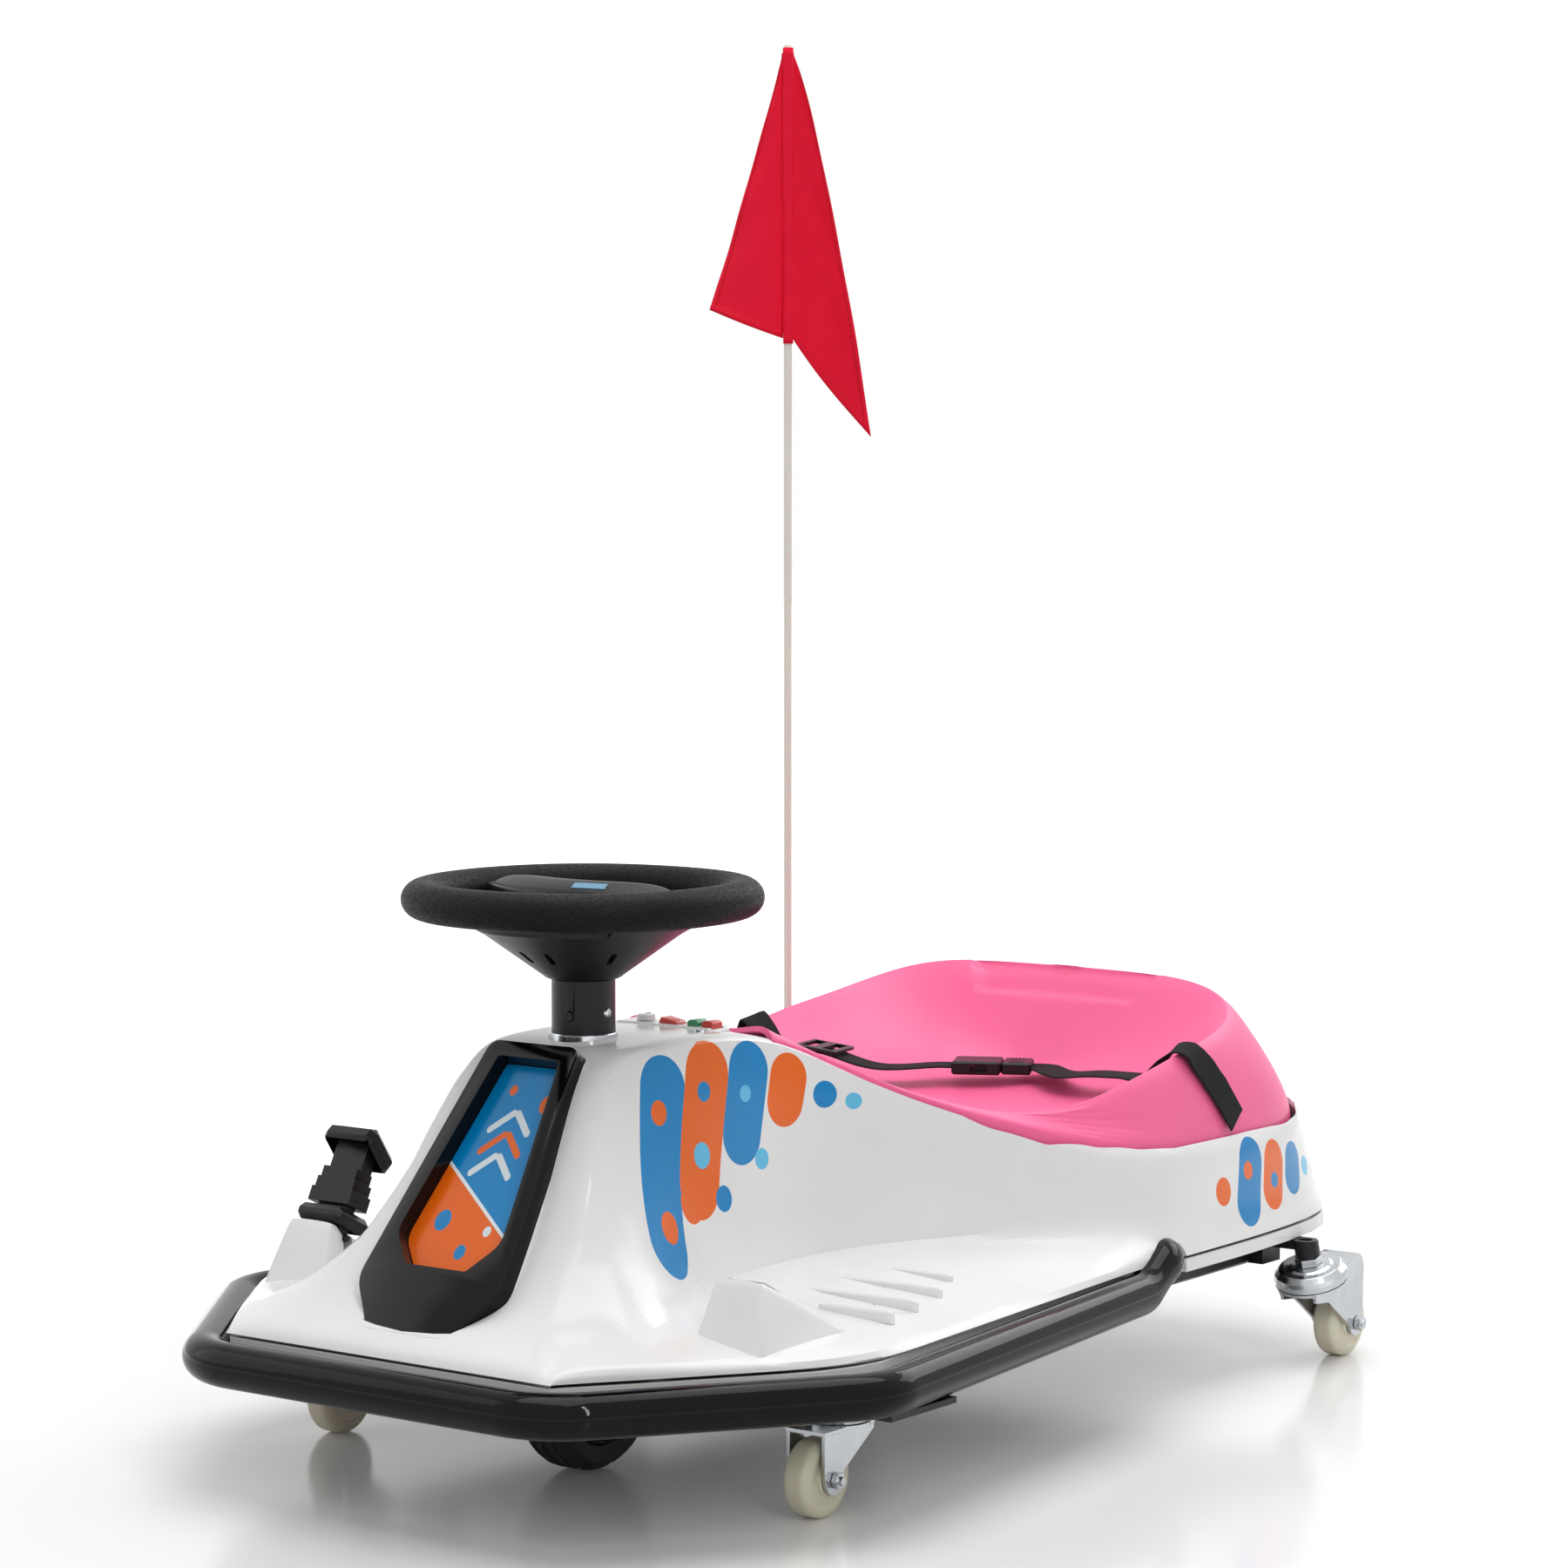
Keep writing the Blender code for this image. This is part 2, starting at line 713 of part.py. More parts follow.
def block_frame():
    """Slope of the foot blocks' tops and the middle of the opening in them."""
    slope = math.atan2(BLOCK_TOP_Z - BLOCK_TAIL_Z, BLOCK_TAIL_Y - BLOCK_TOP_Y)
    x = (BLOCK_TOP_IN_X + BLOCK_TOP_OUT_X) / 2
    reach = 0.003 + BLOCK_TOP_LONG / 2
    middle = Vector((x, BLOCK_TOP_Y + reach * math.cos(slope), BLOCK_TOP_Z - reach * math.sin(slope)))
    return slope, middle


def pedal_pivot():
    """The middle of the accelerator's pin, sunk in the right block's socket."""
    slope, middle = block_frame()
    down = Vector((0, -math.sin(slope), -math.cos(slope)))
    return Vector((-middle.x, middle.y, middle.z)) + down * PIVOT_SINK


def foot_block(side):
    """A raised wedge on the foot deck: steep in front, sloping down to its tail."""
    low = FOOT_DECK_Z - 0.012
    middle_x = (BLOCK_IN_X + BLOCK_OUT_X) / 2
    foot = [
        (BLOCK_IN_X, BLOCK_FRONT_Y),
        (BLOCK_OUT_X, BLOCK_FRONT_Y),
        (BLOCK_OUT_X - 0.001, 0.010),
        (middle_x, 0.010),
    ]
    top = [
        (BLOCK_TOP_IN_X, BLOCK_TOP_Y, BLOCK_TOP_Z),
        (BLOCK_TOP_OUT_X, BLOCK_TOP_Y, BLOCK_TOP_Z),
        (BLOCK_OUT_X - 0.003, BLOCK_TAIL_Y, BLOCK_TAIL_Z),
        (middle_x, BLOCK_TAIL_Y, BLOCK_TAIL_Z),
    ]

    def build(shape):
        lower = [shape.verts.new((side * x, y, low)) for x, y in foot]
        upper = [shape.verts.new((side * x, y, z)) for x, y, z in top]
        shape.faces.new(lower)
        shape.faces.new(upper)
        for i in range(4):
            k = (i + 1) % 4
            shape.faces.new((lower[i], lower[k], upper[k], upper[i]))

    name = "left" if side > 0 else "right"
    block = add(name + "_foot_block", mesh_of(build, "foot_block"), WHITE)
    rounded(block, 0.006, 2)
    return as_tool(block)


def tread_ribs(side):
    """Four low ribs across the foot deck."""
    for x, y, long in TREADS:
        size = (long, 0.004, 0.010)
        turn = (0, 0, side * math.radians(4))
        rib = box("tread_rib", WHITE, size, (side * x, y, FOOT_DECK_Z + TREAD_H - 0.005), 0.001, turn=turn)
        yield as_tool(rib)


TREAD_H = 0.0012
TREADS = ((0.186, 0.042, 0.055), (0.162, 0.080, 0.085), (0.153, 0.124, 0.080), (0.145, 0.167, 0.055))


def hook_tools(name):
    """The round mouths in the sides, with room for the bumper's hooked ends."""
    inner = RAIL_X + RAIL_W / 2 - 0.002
    outer = REAR_HALF + 0.040
    place = (inner + outer) / 2
    return [
        tool_rod(name, HOOK_MOUTH_R, outer - inner, (side * place, HOOK_MOUTH_Y, HOOK_MOUTH_Z), "X", 28)
        for side in (1, -1)
    ]


HOOK_MOUTH_R = 0.024
HOOK_MOUTH_Y = TUBE_HOOK_Y - 0.009
HOOK_MOUTH_Z = TUBE_Z + 0.006


def body_shell():
    shell = add("body_shell", body_cage(), WHITE)
    halves = shell.modifiers.new("halves", "MIRROR")
    halves.merge_threshold = 0.00001
    soft = shell.modifiers.new("soft_form", "SUBSURF")
    soft.levels = 1
    soft.render_levels = 1
    skin = shell.modifiers.new("wall", "SOLIDIFY")
    skin.thickness = WALL
    skin.offset = -1
    cut(shell, opening_tool())
    _, place, lean = face_frame()
    hole = plate("bezel_hole", WHITE, bezel_outline(-GAP), 0.08, at=place, turn=(lean, 0, 0))
    cut(shell, hole)
    cut(shell, tool_rod("column_hole", SLEEVE_D / 2 + 0.002, 0.06, (0, 0, DECK_Z)))
    panel_hole = (PANEL_W - 2 * PANEL_LIP + 2 * GAP, PANEL_D - 2 * PANEL_LIP + 2 * GAP, 0.05)
    cut(shell, tool_box("panel_hole", panel_hole, (0, PANEL_Y, DECK_Z)))
    slope, middle = block_frame()
    for side in (1, -1):
        join(shell, foot_block(side), *tread_ribs(side))
        place = Vector((side * middle.x, middle.y, middle.z))
        size = (SOCKET_W, SOCKET_LONG, 0.050)
        cut(shell, tool_box("block_socket", size, place, turn=(-slope, 0, 0)))
    bore = SOCKET_W + 2 * PIN_SEAT + 2 * GAP
    cut(shell, tool_rod("pedal_pin_bore", PIN_R + GAP, bore, pedal_pivot(), "X", 12))
    cut(shell, *hook_tools("body_hook_mouth"))
    return smooth(shell, 40)


SOCKET_W = 0.030
SOCKET_LONG = 0.026
PANEL_LIP = 0.002


# Pan and frame


def lip_outline(inset):
    """The lip's outline as the soft form leaves it, drawn in by inset and kept inside the bumper."""
    grid = cage_rows()
    half = [p.to_2d() for p in (grid[0][2], *[row[-1] for row in grid], grid[-1][2])]
    loop = half + [Vector((-p.x, p.y)) for p in reversed(half)]
    count = len(loop)
    fine = []
    for i, here in enumerate(loop):
        before, after = loop[i - 1], loop[(i + 1) % count]
        fine += [(before + 6 * here + after) / 8, (here + after) / 2]
    found = []
    for i, here in enumerate(fine):
        along = fine[(i + 1) % len(fine)] - fine[i - 1]
        spot = here + Vector((-along.y, along.x)).normalized() * inset
        if TUBE_FRONT_Y < spot.y < HOOK_MOUTH_Y:
            reach = tube_x(spot.y) - EDGE_GAP - inset
            spot.x = max(-reach, min(reach, spot.x))
        found.append(spot)
    return pruned(pruned(found))


def pruned(loop):
    """The loop without every other point, where that point is nearly on a straight line."""
    kept = []
    skipped = True
    for i, here in enumerate(loop):
        before, after = loop[i - 1], loop[(i + 1) % len(loop)]
        chord = (after - before).normalized()
        away = abs((here - before).cross(chord))
        if away < NEARLY_STRAIGHT and not skipped:
            skipped = True
            continue
        skipped = False
        kept.append(here)
    return kept


NEARLY_STRAIGHT = 0.0002


def underbody_pan():
    depth = PAN_DEEP - LIP_DROP
    middle = Vector((0, 0, PAN_Z + depth / 2))
    floor = Vector((0, 0, PAN_WALL))
    pan = plate("underbody_pan", WHITE, lip_outline(PAN_INSET), depth, at=middle)
    hollow = plate("pan_hollow", WHITE, lip_outline(PAN_INSET + PAN_WALL), depth, at=middle + floor)
    cut(pan, as_tool(hollow))
    cut(pan, tool_rod("wheel_well", WELL_R, 0.05, (0, 0, PAN_Z), sides=32))
    slot = (2 * BRIDGE_HALF + 0.004, 2 * (CROSS_Y + CROSS_W / 2) + 0.004, 0.05)
    cut(pan, tool_box("bridge_slot", slot, (0, 0, PAN_Z)))
    cut(pan, *hook_tools("pan_hook_mouth"))
    return pan


def frame():
    rail_rear = REAR_BEAM_Y - CROSS_W / 2 - GAP
    long = rail_rear - RAIL_FRONT_Y
    for side, name in ((1, "left"), (-1, "right")):
        middle = (side * RAIL_X, RAIL_FRONT_Y + long / 2, RAIL_Z)
        rail = box(name + "_frame_rail", PAINT, (RAIL_W, long, RAIL_H), middle, 0.002)
        join(rail, caster_shelf(side))
        cut(rail, tool_box("rail_bore", (RAIL_W - 0.004, long + 0.01, RAIL_H - 0.004), middle))
    span = 2 * (RAIL_X - RAIL_W / 2 - GAP)
    for y, name in ((-CROSS_Y, "front"), (CROSS_Y, "middle")):
        beam = box(name + "_cross_member", PAINT, (span, CROSS_W, RAIL_H), (0, y, RAIL_Z), 0.002)
        bore = (span + 0.01, CROSS_W - 0.004, RAIL_H - 0.004)
        cut(beam, tool_box(name + "_cross_bore", bore, beam.location))


def caster_shelf(side):
    """The flat steel shelf welded to the rail under the bumper tube, for the front caster's plate."""
    inner = RAIL_X + RAIL_W / 2 - 0.001
    outer = tube_x(FRONT_CASTER_Y) + 0.004
    z = TUBE_Z - TUBE_R - GAP - STEEL / 2
    size = (outer - inner, BRACKET_LONG, STEEL)
    return tool_box("caster_shelf", size, (side * (inner + outer) / 2, FRONT_CASTER_Y, z))


REAR_BEAM_Y = REAR_CASTER_Y - (RAIL_Z - REAR_HEAD_Z) * math.tan(REAR_TILT)


def rear_beam():
    """The rear cross-member, with an arm and a leaning sleeve welded on each end for the caster's stem."""
    spare = 0.001
    end = REAR_CASTER_X - 0.030
    size = (2 * end, CROSS_W, RAIL_H + spare)
    beam = box("rear_axle_beam", PAINT, size, (0, REAR_BEAM_Y, RAIL_Z + spare / 2))
    arm_low = REAR_HEAD_Z + 0.0185
    arm_high = RAIL_TOP + spare
    for side in (1, -1):
        size = (0.040, 0.014, arm_high - arm_low)
        arm = tool_box("stem_arm", size, (side * (end + 0.013), REAR_BEAM_Y, (arm_high + arm_low) / 2))
        foot = (side * REAR_CASTER_X, REAR_CASTER_Y, REAR_HEAD_Z)
        profile = [(0, 0.036), (STEM_D / 2, 0.036), (STEM_D / 2, STEM_FOOT), (0, STEM_FOOT)]
        sleeve = turned("sleeve", PAINT, profile, 20, at=foot, turn=(REAR_TILT, 0, 0))
        join(beam, arm, as_tool(sleeve))
    trim = (2 * REAR_CASTER_X + 0.06, 0.08, 0.05)
    cut(beam, tool_box("sleeve_top_trim", trim, (0, REAR_BEAM_Y, RAIL_TOP + 0.025)))
    for side in (1, -1):
        foot = (side * REAR_CASTER_X, REAR_CASTER_Y, REAR_HEAD_Z)
        bore = tool_rod("sleeve_bore", KINGPIN_D / 2 + GAP, 0.12, foot, sides=20, turn=(REAR_TILT, 0, 0))
        cut(beam, bore)
    return smooth(beam)


STEM_FOOT = 0.0150


# Casters


def caster_wheel(prefix, parent, centre):
    r = CASTER_WHEEL_D / 2
    w = CASTER_WHEEL_W / 2
    bore = CASTER_BOLT_D / 2 + RUNNING
    profile = [
        (bore, w),
        (0.0105, w),
        (r - 0.006, w - 0.0015),
        (r, 0.006),
        (r, -0.006),
        (r - 0.006, -w + 0.0015),
        (0.0105, -w),
        (bore, -w),
    ]
    return turned(prefix + "_wheel", NYLON, profile, 20, parent, centre, (0, math.pi / 2, 0), ring=True)


def caster_axle(prefix, parent, centre, outside):
    """A hex bolt through the fork, with its nut on the other leg."""
    grip = CASTER_WHEEL_W / 2 + LEG_CLEAR + FORK_STEEL + GAP
    long = 2 * grip + 0.0125
    axle = rod(prefix + "_axle", ZINC, CASTER_BOLT_D / 2, long, centre, "X", 10, parent)
    for name, side, high in (("_bolt_head", outside, 0.004), ("_nut", -outside, 0.005)):
        place = centre + Vector((side * (grip + high / 2), 0, 0))
        end = rod(prefix + name, ZINC, BOLT_HEX, high, place, "X", 6, parent)
        join(axle, as_tool(end))
    return axle


BOLT_HEX = 0.0055


LEG_CLEAR = 0.0012
SEAM = 0.0004


def fork(prefix, parent, outline, top_z, plate_front, plate_back, disc_r, axle):
    """Two pressed legs under a flat crown with a round seat for the bearing."""
    half = CASTER_WHEEL_W / 2 + LEG_CLEAR + FORK_STEEL
    size = (2 * half + 2 * SEAM, plate_front - plate_back + 2 * SEAM, FORK_STEEL)
    place = (0, (plate_front + plate_back) / 2, top_z - SEAM - FORK_STEEL / 2)
    crown = box(prefix + "_fork", ZINC, size, place, parent=parent)
    thick = FORK_STEEL - SEAM
    seat = rod(prefix + "_fork_seat", ZINC, disc_r, thick, (0, 0, top_z - thick / 2), "Z", 20, parent)
    join(crown, as_tool(seat))
    for side in (1, -1):
        leg = plate(
            prefix + "_leg",
            ZINC,
            outline,
            FORK_STEEL,
            parent,
            (side * (half - FORK_STEEL / 2), 0, 0),
            (math.pi / 2, 0, math.pi / 2),
        )
        join(crown, as_tool(leg))
    cut(crown, tool_rod(prefix + "_axle_hole", CASTER_BOLT_D / 2 + GAP, 0.1, axle, "X", 10, parent))
    return smooth(crown)


PLATE_TOP = TUBE_Z - TUBE_R - GAP - STEEL - GAP
FORK_TOP = PLATE_TOP - PLATE_THICK - 0.0095


def front_caster(side, name):
    prefix = "front_" + name + "_caster"
    head = empty(prefix + "_swivel_axis", CAR, (side * FRONT_CASTER_X, FRONT_CASTER_Y, 0))
    slab = box(
        prefix + "_plate",
        ZINC,
        (PLATE_SIDE, PLATE_SIDE, PLATE_THICK),
        (side * FRONT_CASTER_X, FRONT_CASTER_Y, PLATE_TOP - PLATE_THICK / 2),
        0.0008,
    )
    low = FORK_TOP + GAP
    race = turned(
        prefix + "_race",
        ZINC,
        [(0, PLATE_TOP - 0.001), (0.019, PLATE_TOP - 0.001), (0.021, low + 0.006), (0.019, low), (0, low)],
        20,
        at=(side * FRONT_CASTER_X, FRONT_CASTER_Y, 0),
    )
    join(slab, as_tool(race))
    reach = PLATE_SIDE / 2 - 0.008
    for x in (-reach, reach):
        for y in (-reach, reach):
            spot = (side * FRONT_CASTER_X + x, FRONT_CASTER_Y + y, PLATE_TOP)
            cut(slab, tool_rod("plate_hole", 0.0032, 0.02, spot, sides=8))
    axle = Vector((0, -FRONT_TRAIL, CASTER_WHEEL_D / 2))
    outline = [
        (-FRONT_TRAIL - 0.011, FORK_TOP - 2 * SEAM),
        (0.017, FORK_TOP - 2 * SEAM),
        (0.017, FORK_TOP - 0.006),
        *arc((axle.y, axle.z), 0.010, 25, -170, 6),
        (-FRONT_TRAIL - 0.011, axle.z + 0.004),
    ]
    fork(prefix, head, outline, FORK_TOP, 0.017, -FRONT_TRAIL - 0.011, 0.020, axle)
    spin = empty(prefix + "_wheel_axis", head, axle)
    caster_wheel(prefix, spin, (0, 0, 0))
    caster_axle(prefix, head, axle, side)


def rear_caster(side, name):
    """A stem caster whose kingpin leans, its top forward."""
    prefix = "rear_" + name + "_caster"
    place = (side * REAR_CASTER_X, REAR_CASTER_Y, REAR_HEAD_Z)
    lean = (REAR_TILT, 0, 0)
    fixed = empty(prefix + "_kingpin_axis", CAR, place, lean)
    head = empty(prefix + "_swivel_axis", CAR, place, lean)
    crown_z = -0.0045
    cap_low = crown_z + GAP
    pin_r = KINGPIN_D / 2
    housing = [
        (pin_r + GAP, 0.0085),
        (0.0150, 0.0085),
        (0.0170, 0.0070),
        (0.0225, 0.0070),
        (0.0262, 0.0035),
        (0.0270, 0.0005),
        (0.0262, cap_low),
        (pin_r + GAP, cap_low),
    ]
    turned(prefix + "_bearing_housing", ZINC, housing, 20, fixed, ring=True)
    top = (RAIL_TOP - REAR_HEAD_Z) / math.cos(REAR_TILT) - 0.004
    nut_low = 0.0085 + GAP
    pin = rod(prefix + "_kingpin", ZINC, pin_r, top - cap_low, (0, 0, (top + cap_low) / 2), "Z", 20, fixed)
    nut_top = STEM_FOOT - GAP
    nut_at = (0, 0, (nut_top + nut_low) / 2)
    nut = rod(prefix + "_kingpin_nut", ZINC, 0.0100, nut_top - nut_low, nut_at, "Z", 6, fixed)
    join(pin, as_tool(nut))
    axle = Vector((0, REAR_TRAIL, -REAR_DROP))
    outline = [
        (0.046, crown_z - 2 * SEAM),
        (-0.022, crown_z - 2 * SEAM),
        (-0.022, crown_z - 0.007),
        (-0.006, crown_z - 0.014),
        *arc((axle.y, axle.z), 0.010, 165, 370, 6),
        (0.049, crown_z - 0.012),
        (0.049, crown_z - 0.004),
    ]
    fork(prefix, head, outline, crown_z, 0.046, -0.022, 0.0265, axle)
    spin = empty(prefix + "_wheel_axis", head, axle)
    caster_wheel(prefix, spin, (0, 0, 0))
    caster_axle(prefix, head, axle, -side)


# Drive unit and steering


def drive_unit():
    steer = empty("steering_axis", CAR)
    axle_z = DRIVE_D / 2
    inner = DRIVE_W / 2 + 0.0025
    outer = inner + YOKE_STEEL
    half = YOKE_W / 2
    crown = (2 * outer, YOKE_W, YOKE_STEEL)
    yoke = box("drive_yoke", PAINT, crown, (0, 0, YOKE_TOP_Z - YOKE_STEEL / 2), parent=steer)
    shoulder = 0.085
    outline = [
        (-half, YOKE_TOP_Z),
        (-half, shoulder),
        *arc((0, axle_z), 0.013, 190, 350, 9),
        (half, shoulder),
        (half, YOKE_TOP_Z),
    ]
    for side in (1, -1):
        leg = plate(
            "yoke_leg",
            PAINT,
            outline,
            YOKE_STEEL,
            steer,
            (side * (inner + YOKE_STEEL / 2), 0, 0),
            (math.pi / 2, 0, math.pi / 2),
        )
        join(yoke, as_tool(leg))
    cut(yoke, tool_rod("yoke_axle_hole", DRIVE_AXLE_D / 2 + GAP, 0.1, (0, 0, axle_z), "X", 16, steer))
    smooth(yoke)
    spin = empty("drive_wheel_axis", steer, (0, 0, axle_z))
    drive_wheel(spin)
    axle = rod("drive_axle", ZINC, DRIVE_AXLE_D / 2, 2 * outer + 0.010, (0, 0, axle_z), "X", 16, steer)
    cap = rod("drive_axle_nut", ZINC, 0.0085, 0.0055, (outer + GAP + 0.00275, 0, axle_z), "X", 6, steer)
    join(axle, as_tool(cap))
    gearbox(steer, outer, axle_z)
    shaft_low = YOKE_TOP_Z + GAP
    shaft_top = WHEEL_Z - 0.021
    middle = (0, 0, (shaft_low + shaft_top) / 2)
    rod("steering_shaft", ZINC, SHAFT_D / 2, shaft_top - shaft_low, middle, "Z", 24, steer)
    return steer


def gearbox(steer, outer, axle_z):
    """The geared motor on the right leg of the yoke: a flat gearbox with the motor's can pointing outward."""
    thick = 0.016
    x = -(outer + GAP + thick / 2)
    outline = [*arc((0, axle_z), 0.021, 200, 340, 10), *arc((0, axle_z + 0.020), 0.015, 20, 160, 8)]
    across = (math.pi / 2, 0, math.pi / 2)
    case = plate("drive_gear_motor", CASE, outline, thick, steer, (x, 0, 0), across, 0.0015)
    mouth = (-(outer + GAP), 0, axle_z)
    cut(case, tool_rod("gearbox_bore", DRIVE_AXLE_D / 2 + GAP, 0.012, mouth, "X", 16, steer))
    end = -(outer + GAP + thick - 0.001)
    r = MOTOR_D / 2
    nub = [(0, MOTOR_LONG + 0.002), (0.006, MOTOR_LONG + 0.002), (0.006, MOTOR_LONG)]
    can = nub + [(r - 0.002, MOTOR_LONG), (r, MOTOR_LONG - 0.002), (r, 0), (0, 0)]
    motor = turned("motor_can", CASE, can, 20, steer, (end, 0, axle_z), (0, -math.pi / 2, 0))
    join(case, as_tool(motor))
    smooth(case)


def drive_wheel(spin):
    r = DRIVE_D / 2
    w = DRIVE_W / 2
    rim_r = DRIVE_RIM_D / 2
    turn = (0, math.pi / 2, 0)
    profile = [
        (rim_r + GAP, w - 0.004),
        (r - 0.008, w),
        (r - 0.002, w - 0.005),
        (r, w - 0.012),
        (r, -w + 0.012),
        (r - 0.002, -w + 0.005),
        (r - 0.008, -w),
        (rim_r + GAP, -w + 0.004),
    ]
    turned("drive_tyre", RUBBER, profile, 24, spin, turn=turn, ring=True)
    bore = DRIVE_AXLE_D / 2 + RUNNING
    hub = [
        (bore, w + 0.001),
        (0.012, w + 0.001),
        (0.014, w - 0.008),
        (rim_r - 0.004, w - 0.008),
        (rim_r - 0.002, w - 0.002),
        (rim_r, w - 0.003),
        (rim_r, -w + 0.003),
        (rim_r - 0.002, -w + 0.002),
        (rim_r - 0.004, -w + 0.008),
        (0.014, -w + 0.008),
        (0.012, -w - 0.001),
        (bore, -w - 0.001),
    ]
    turned("drive_wheel_hub", CASE, hub, 16, spin, turn=turn, ring=True)


def column_bridge():
    """The pressed bridge over the drive wheel that holds the foot bearing of the steering shaft."""
    reach = CROSS_Y + CROSS_W / 2
    leg_y = CROSS_Y - CROSS_W / 2 - 0.004
    low = RAIL_TOP + GAP
    t = STEEL
    outline = [
        (-reach, low),
        (-leg_y, low),
        (-leg_y + 0.002, BRIDGE_Z),
        (leg_y - 0.002, BRIDGE_Z),
        (leg_y, low),
        (reach, low),
        (reach, low + t),
        (leg_y + t, low + t),
        (leg_y + t - 0.002, BRIDGE_Z + t),
        (-leg_y - t + 0.002, BRIDGE_Z + t),
        (-leg_y - t, low + t),
        (-reach, low + t),
    ]
    bridge = plate("column_bridge", PAINT, outline, 2 * BRIDGE_HALF, turn=(math.pi / 2, 0, math.pi / 2))
    cut(bridge, tool_rod("bridge_bore", BEARING_R, 0.02, (0, 0, BRIDGE_Z), sides=28))
    flange = BRIDGE_Z + STEEL + GAP
    ring = [
        (SHAFT_D / 2 + RUNNING, flange + 0.004),
        (BEARING_R + 0.003, flange + 0.004),
        (BEARING_R + 0.003, flange),
        (BEARING_R - GAP, flange),
        (BEARING_R - GAP, BRIDGE_Z - 0.002),
        (SHAFT_D / 2 + RUNNING, BRIDGE_Z - 0.002),
    ]
    turned("shaft_foot_bearing", ZINC, ring, 24, ring=True)


BEARING_R = 0.014


def column_ring():
    """The plated ring on the deck that steadies the column sleeve."""
    low = DECK_Z + 0.0025
    inner = SLEEVE_D / 2 + RUNNING
    hole = SLEEVE_D / 2 + 0.002 - GAP
    foot = DECK_Z - 0.010
    profile = [(inner, low), (hole - 0.0004, low), (hole, low - 0.0006), (hole, foot), (inner, foot)]
    turned("column_ring", ZINC, profile, 24, ring=True)


def steering_wheel(steer):
    shaft_r = SHAFT_D / 2 + GAP
    sleeve_r = SLEEVE_D / 2
    sleeve = [
        (shaft_r, SLEEVE_TOP_Z),
        (sleeve_r, SLEEVE_TOP_Z),
        (sleeve_r, DECK_Z - 0.010),
        (shaft_r, DECK_Z - 0.010),
    ]
    sleeve = turned("column_sleeve", BLACK, sleeve, 32, steer, ring=True)
    turn = math.radians(13)
    head = rod("sleeve_screw", ZINC, 0.0034, 0.006, (0, 0, 0), "Z", 10, steer, (math.pi / 2, 0, turn))
    reach = sleeve_r - 0.001
    head.location = (math.sin(turn) * reach, -math.cos(turn) * reach, DECK_Z + 0.0145)
    join(sleeve, as_tool(head))
    smooth(sleeve)
    hub_profile = [
        (shaft_r, WHEEL_Z - 0.024),
        (0.018, WHEEL_Z - 0.024),
        (0.022, SLEEVE_TOP_Z + 0.006),
        (HUB_MID_R - 0.002, HUB_MID_Z + 0.0025),
        (HUB_RIM_R, WHEEL_Z - 0.004),
        (HUB_RIM_R, WHEEL_Z - 0.009),
        (HUB_MID_R, HUB_MID_Z - 0.001),
        (0.0255, SLEEVE_TOP_Z + 0.0015),
        (0.0230, SLEEVE_TOP_Z + GAP),
        (shaft_r, SLEEVE_TOP_Z + GAP),
    ]
    hub = turned("steering_hub", BLACK, hub_profile, 24, steer, ring=True)
    for middle in (-90, 90):
        inside = arc((0, 0), HUB_MID_R + 0.006, middle - 52, middle + 52, 9)
        outside = arc((0, 0), HUB_RIM_R - 0.004, middle + 54, middle - 54, 9)
        gap = plate("hub_gap", BLACK, inside + outside, 0.04, steer, (0, 0, WHEEL_Z - 0.01))
        cut(hub, as_tool(gap))
    smooth(hub)
    wheel_rim(steer)
    hub_cover(steer)


HUB_RIM_R = 0.0885


def squircle(angle, reach, power=2.5):
    """A point on a rounded square outline of that reach."""
    c, s = math.cos(angle), math.sin(angle)
    k = reach / (abs(c) ** power + abs(s) ** power) ** (1 / power)
    return k * c, k * s


def wheel_rim(steer):
    """The padded rim: an oval section swept round a nearly round path."""
    around, section = 32, 8
    reach = WHEEL_OUTER_D / 2 - RIM_TUBE_W / 2

    def build(shape):
        rings = []
        for i in range(around):
            turn = 2 * math.pi * i / around
            cx, cy = squircle(turn, reach, 2.18)
            away = Vector((cx, cy, 0)).normalized()
            ring = []
            for k in range(section):
                t = 2 * math.pi * k / section
                p = Vector((cx, cy, WHEEL_Z)) + away * math.cos(t) * RIM_TUBE_W / 2
                p.z += math.sin(t) * RIM_TUBE_H / 2
                ring.append(shape.verts.new(p))
            rings.append(ring)
        for i in range(around):
            a, b = rings[i], rings[(i + 1) % around]
            for k in range(section):
                m = (k + 1) % section
                shape.faces.new((a[k], b[k], b[m], a[m]))

    rim = add("steering_wheel_rim", mesh_of(build, "steering_wheel_rim"), BLACK, steer)
    return smooth(rim, 60)


def hub_cover(steer):
    """The crescent bar across the hub, ending on the two spokes."""
    outline = arc((0, 0.100), 0.128, -132.6, -47.4, 9) + arc((0, 0.190), 0.186, -64.5, -115.5, 9)
    low = WHEEL_Z - 0.0043 + GAP
    cover = plate("hub_cover", BLACK, outline, 0.009, steer, (0, 0, low + 0.0045))
    rounded(cover, 0.002, 2)
    return smooth(cover)


# Nose bezel


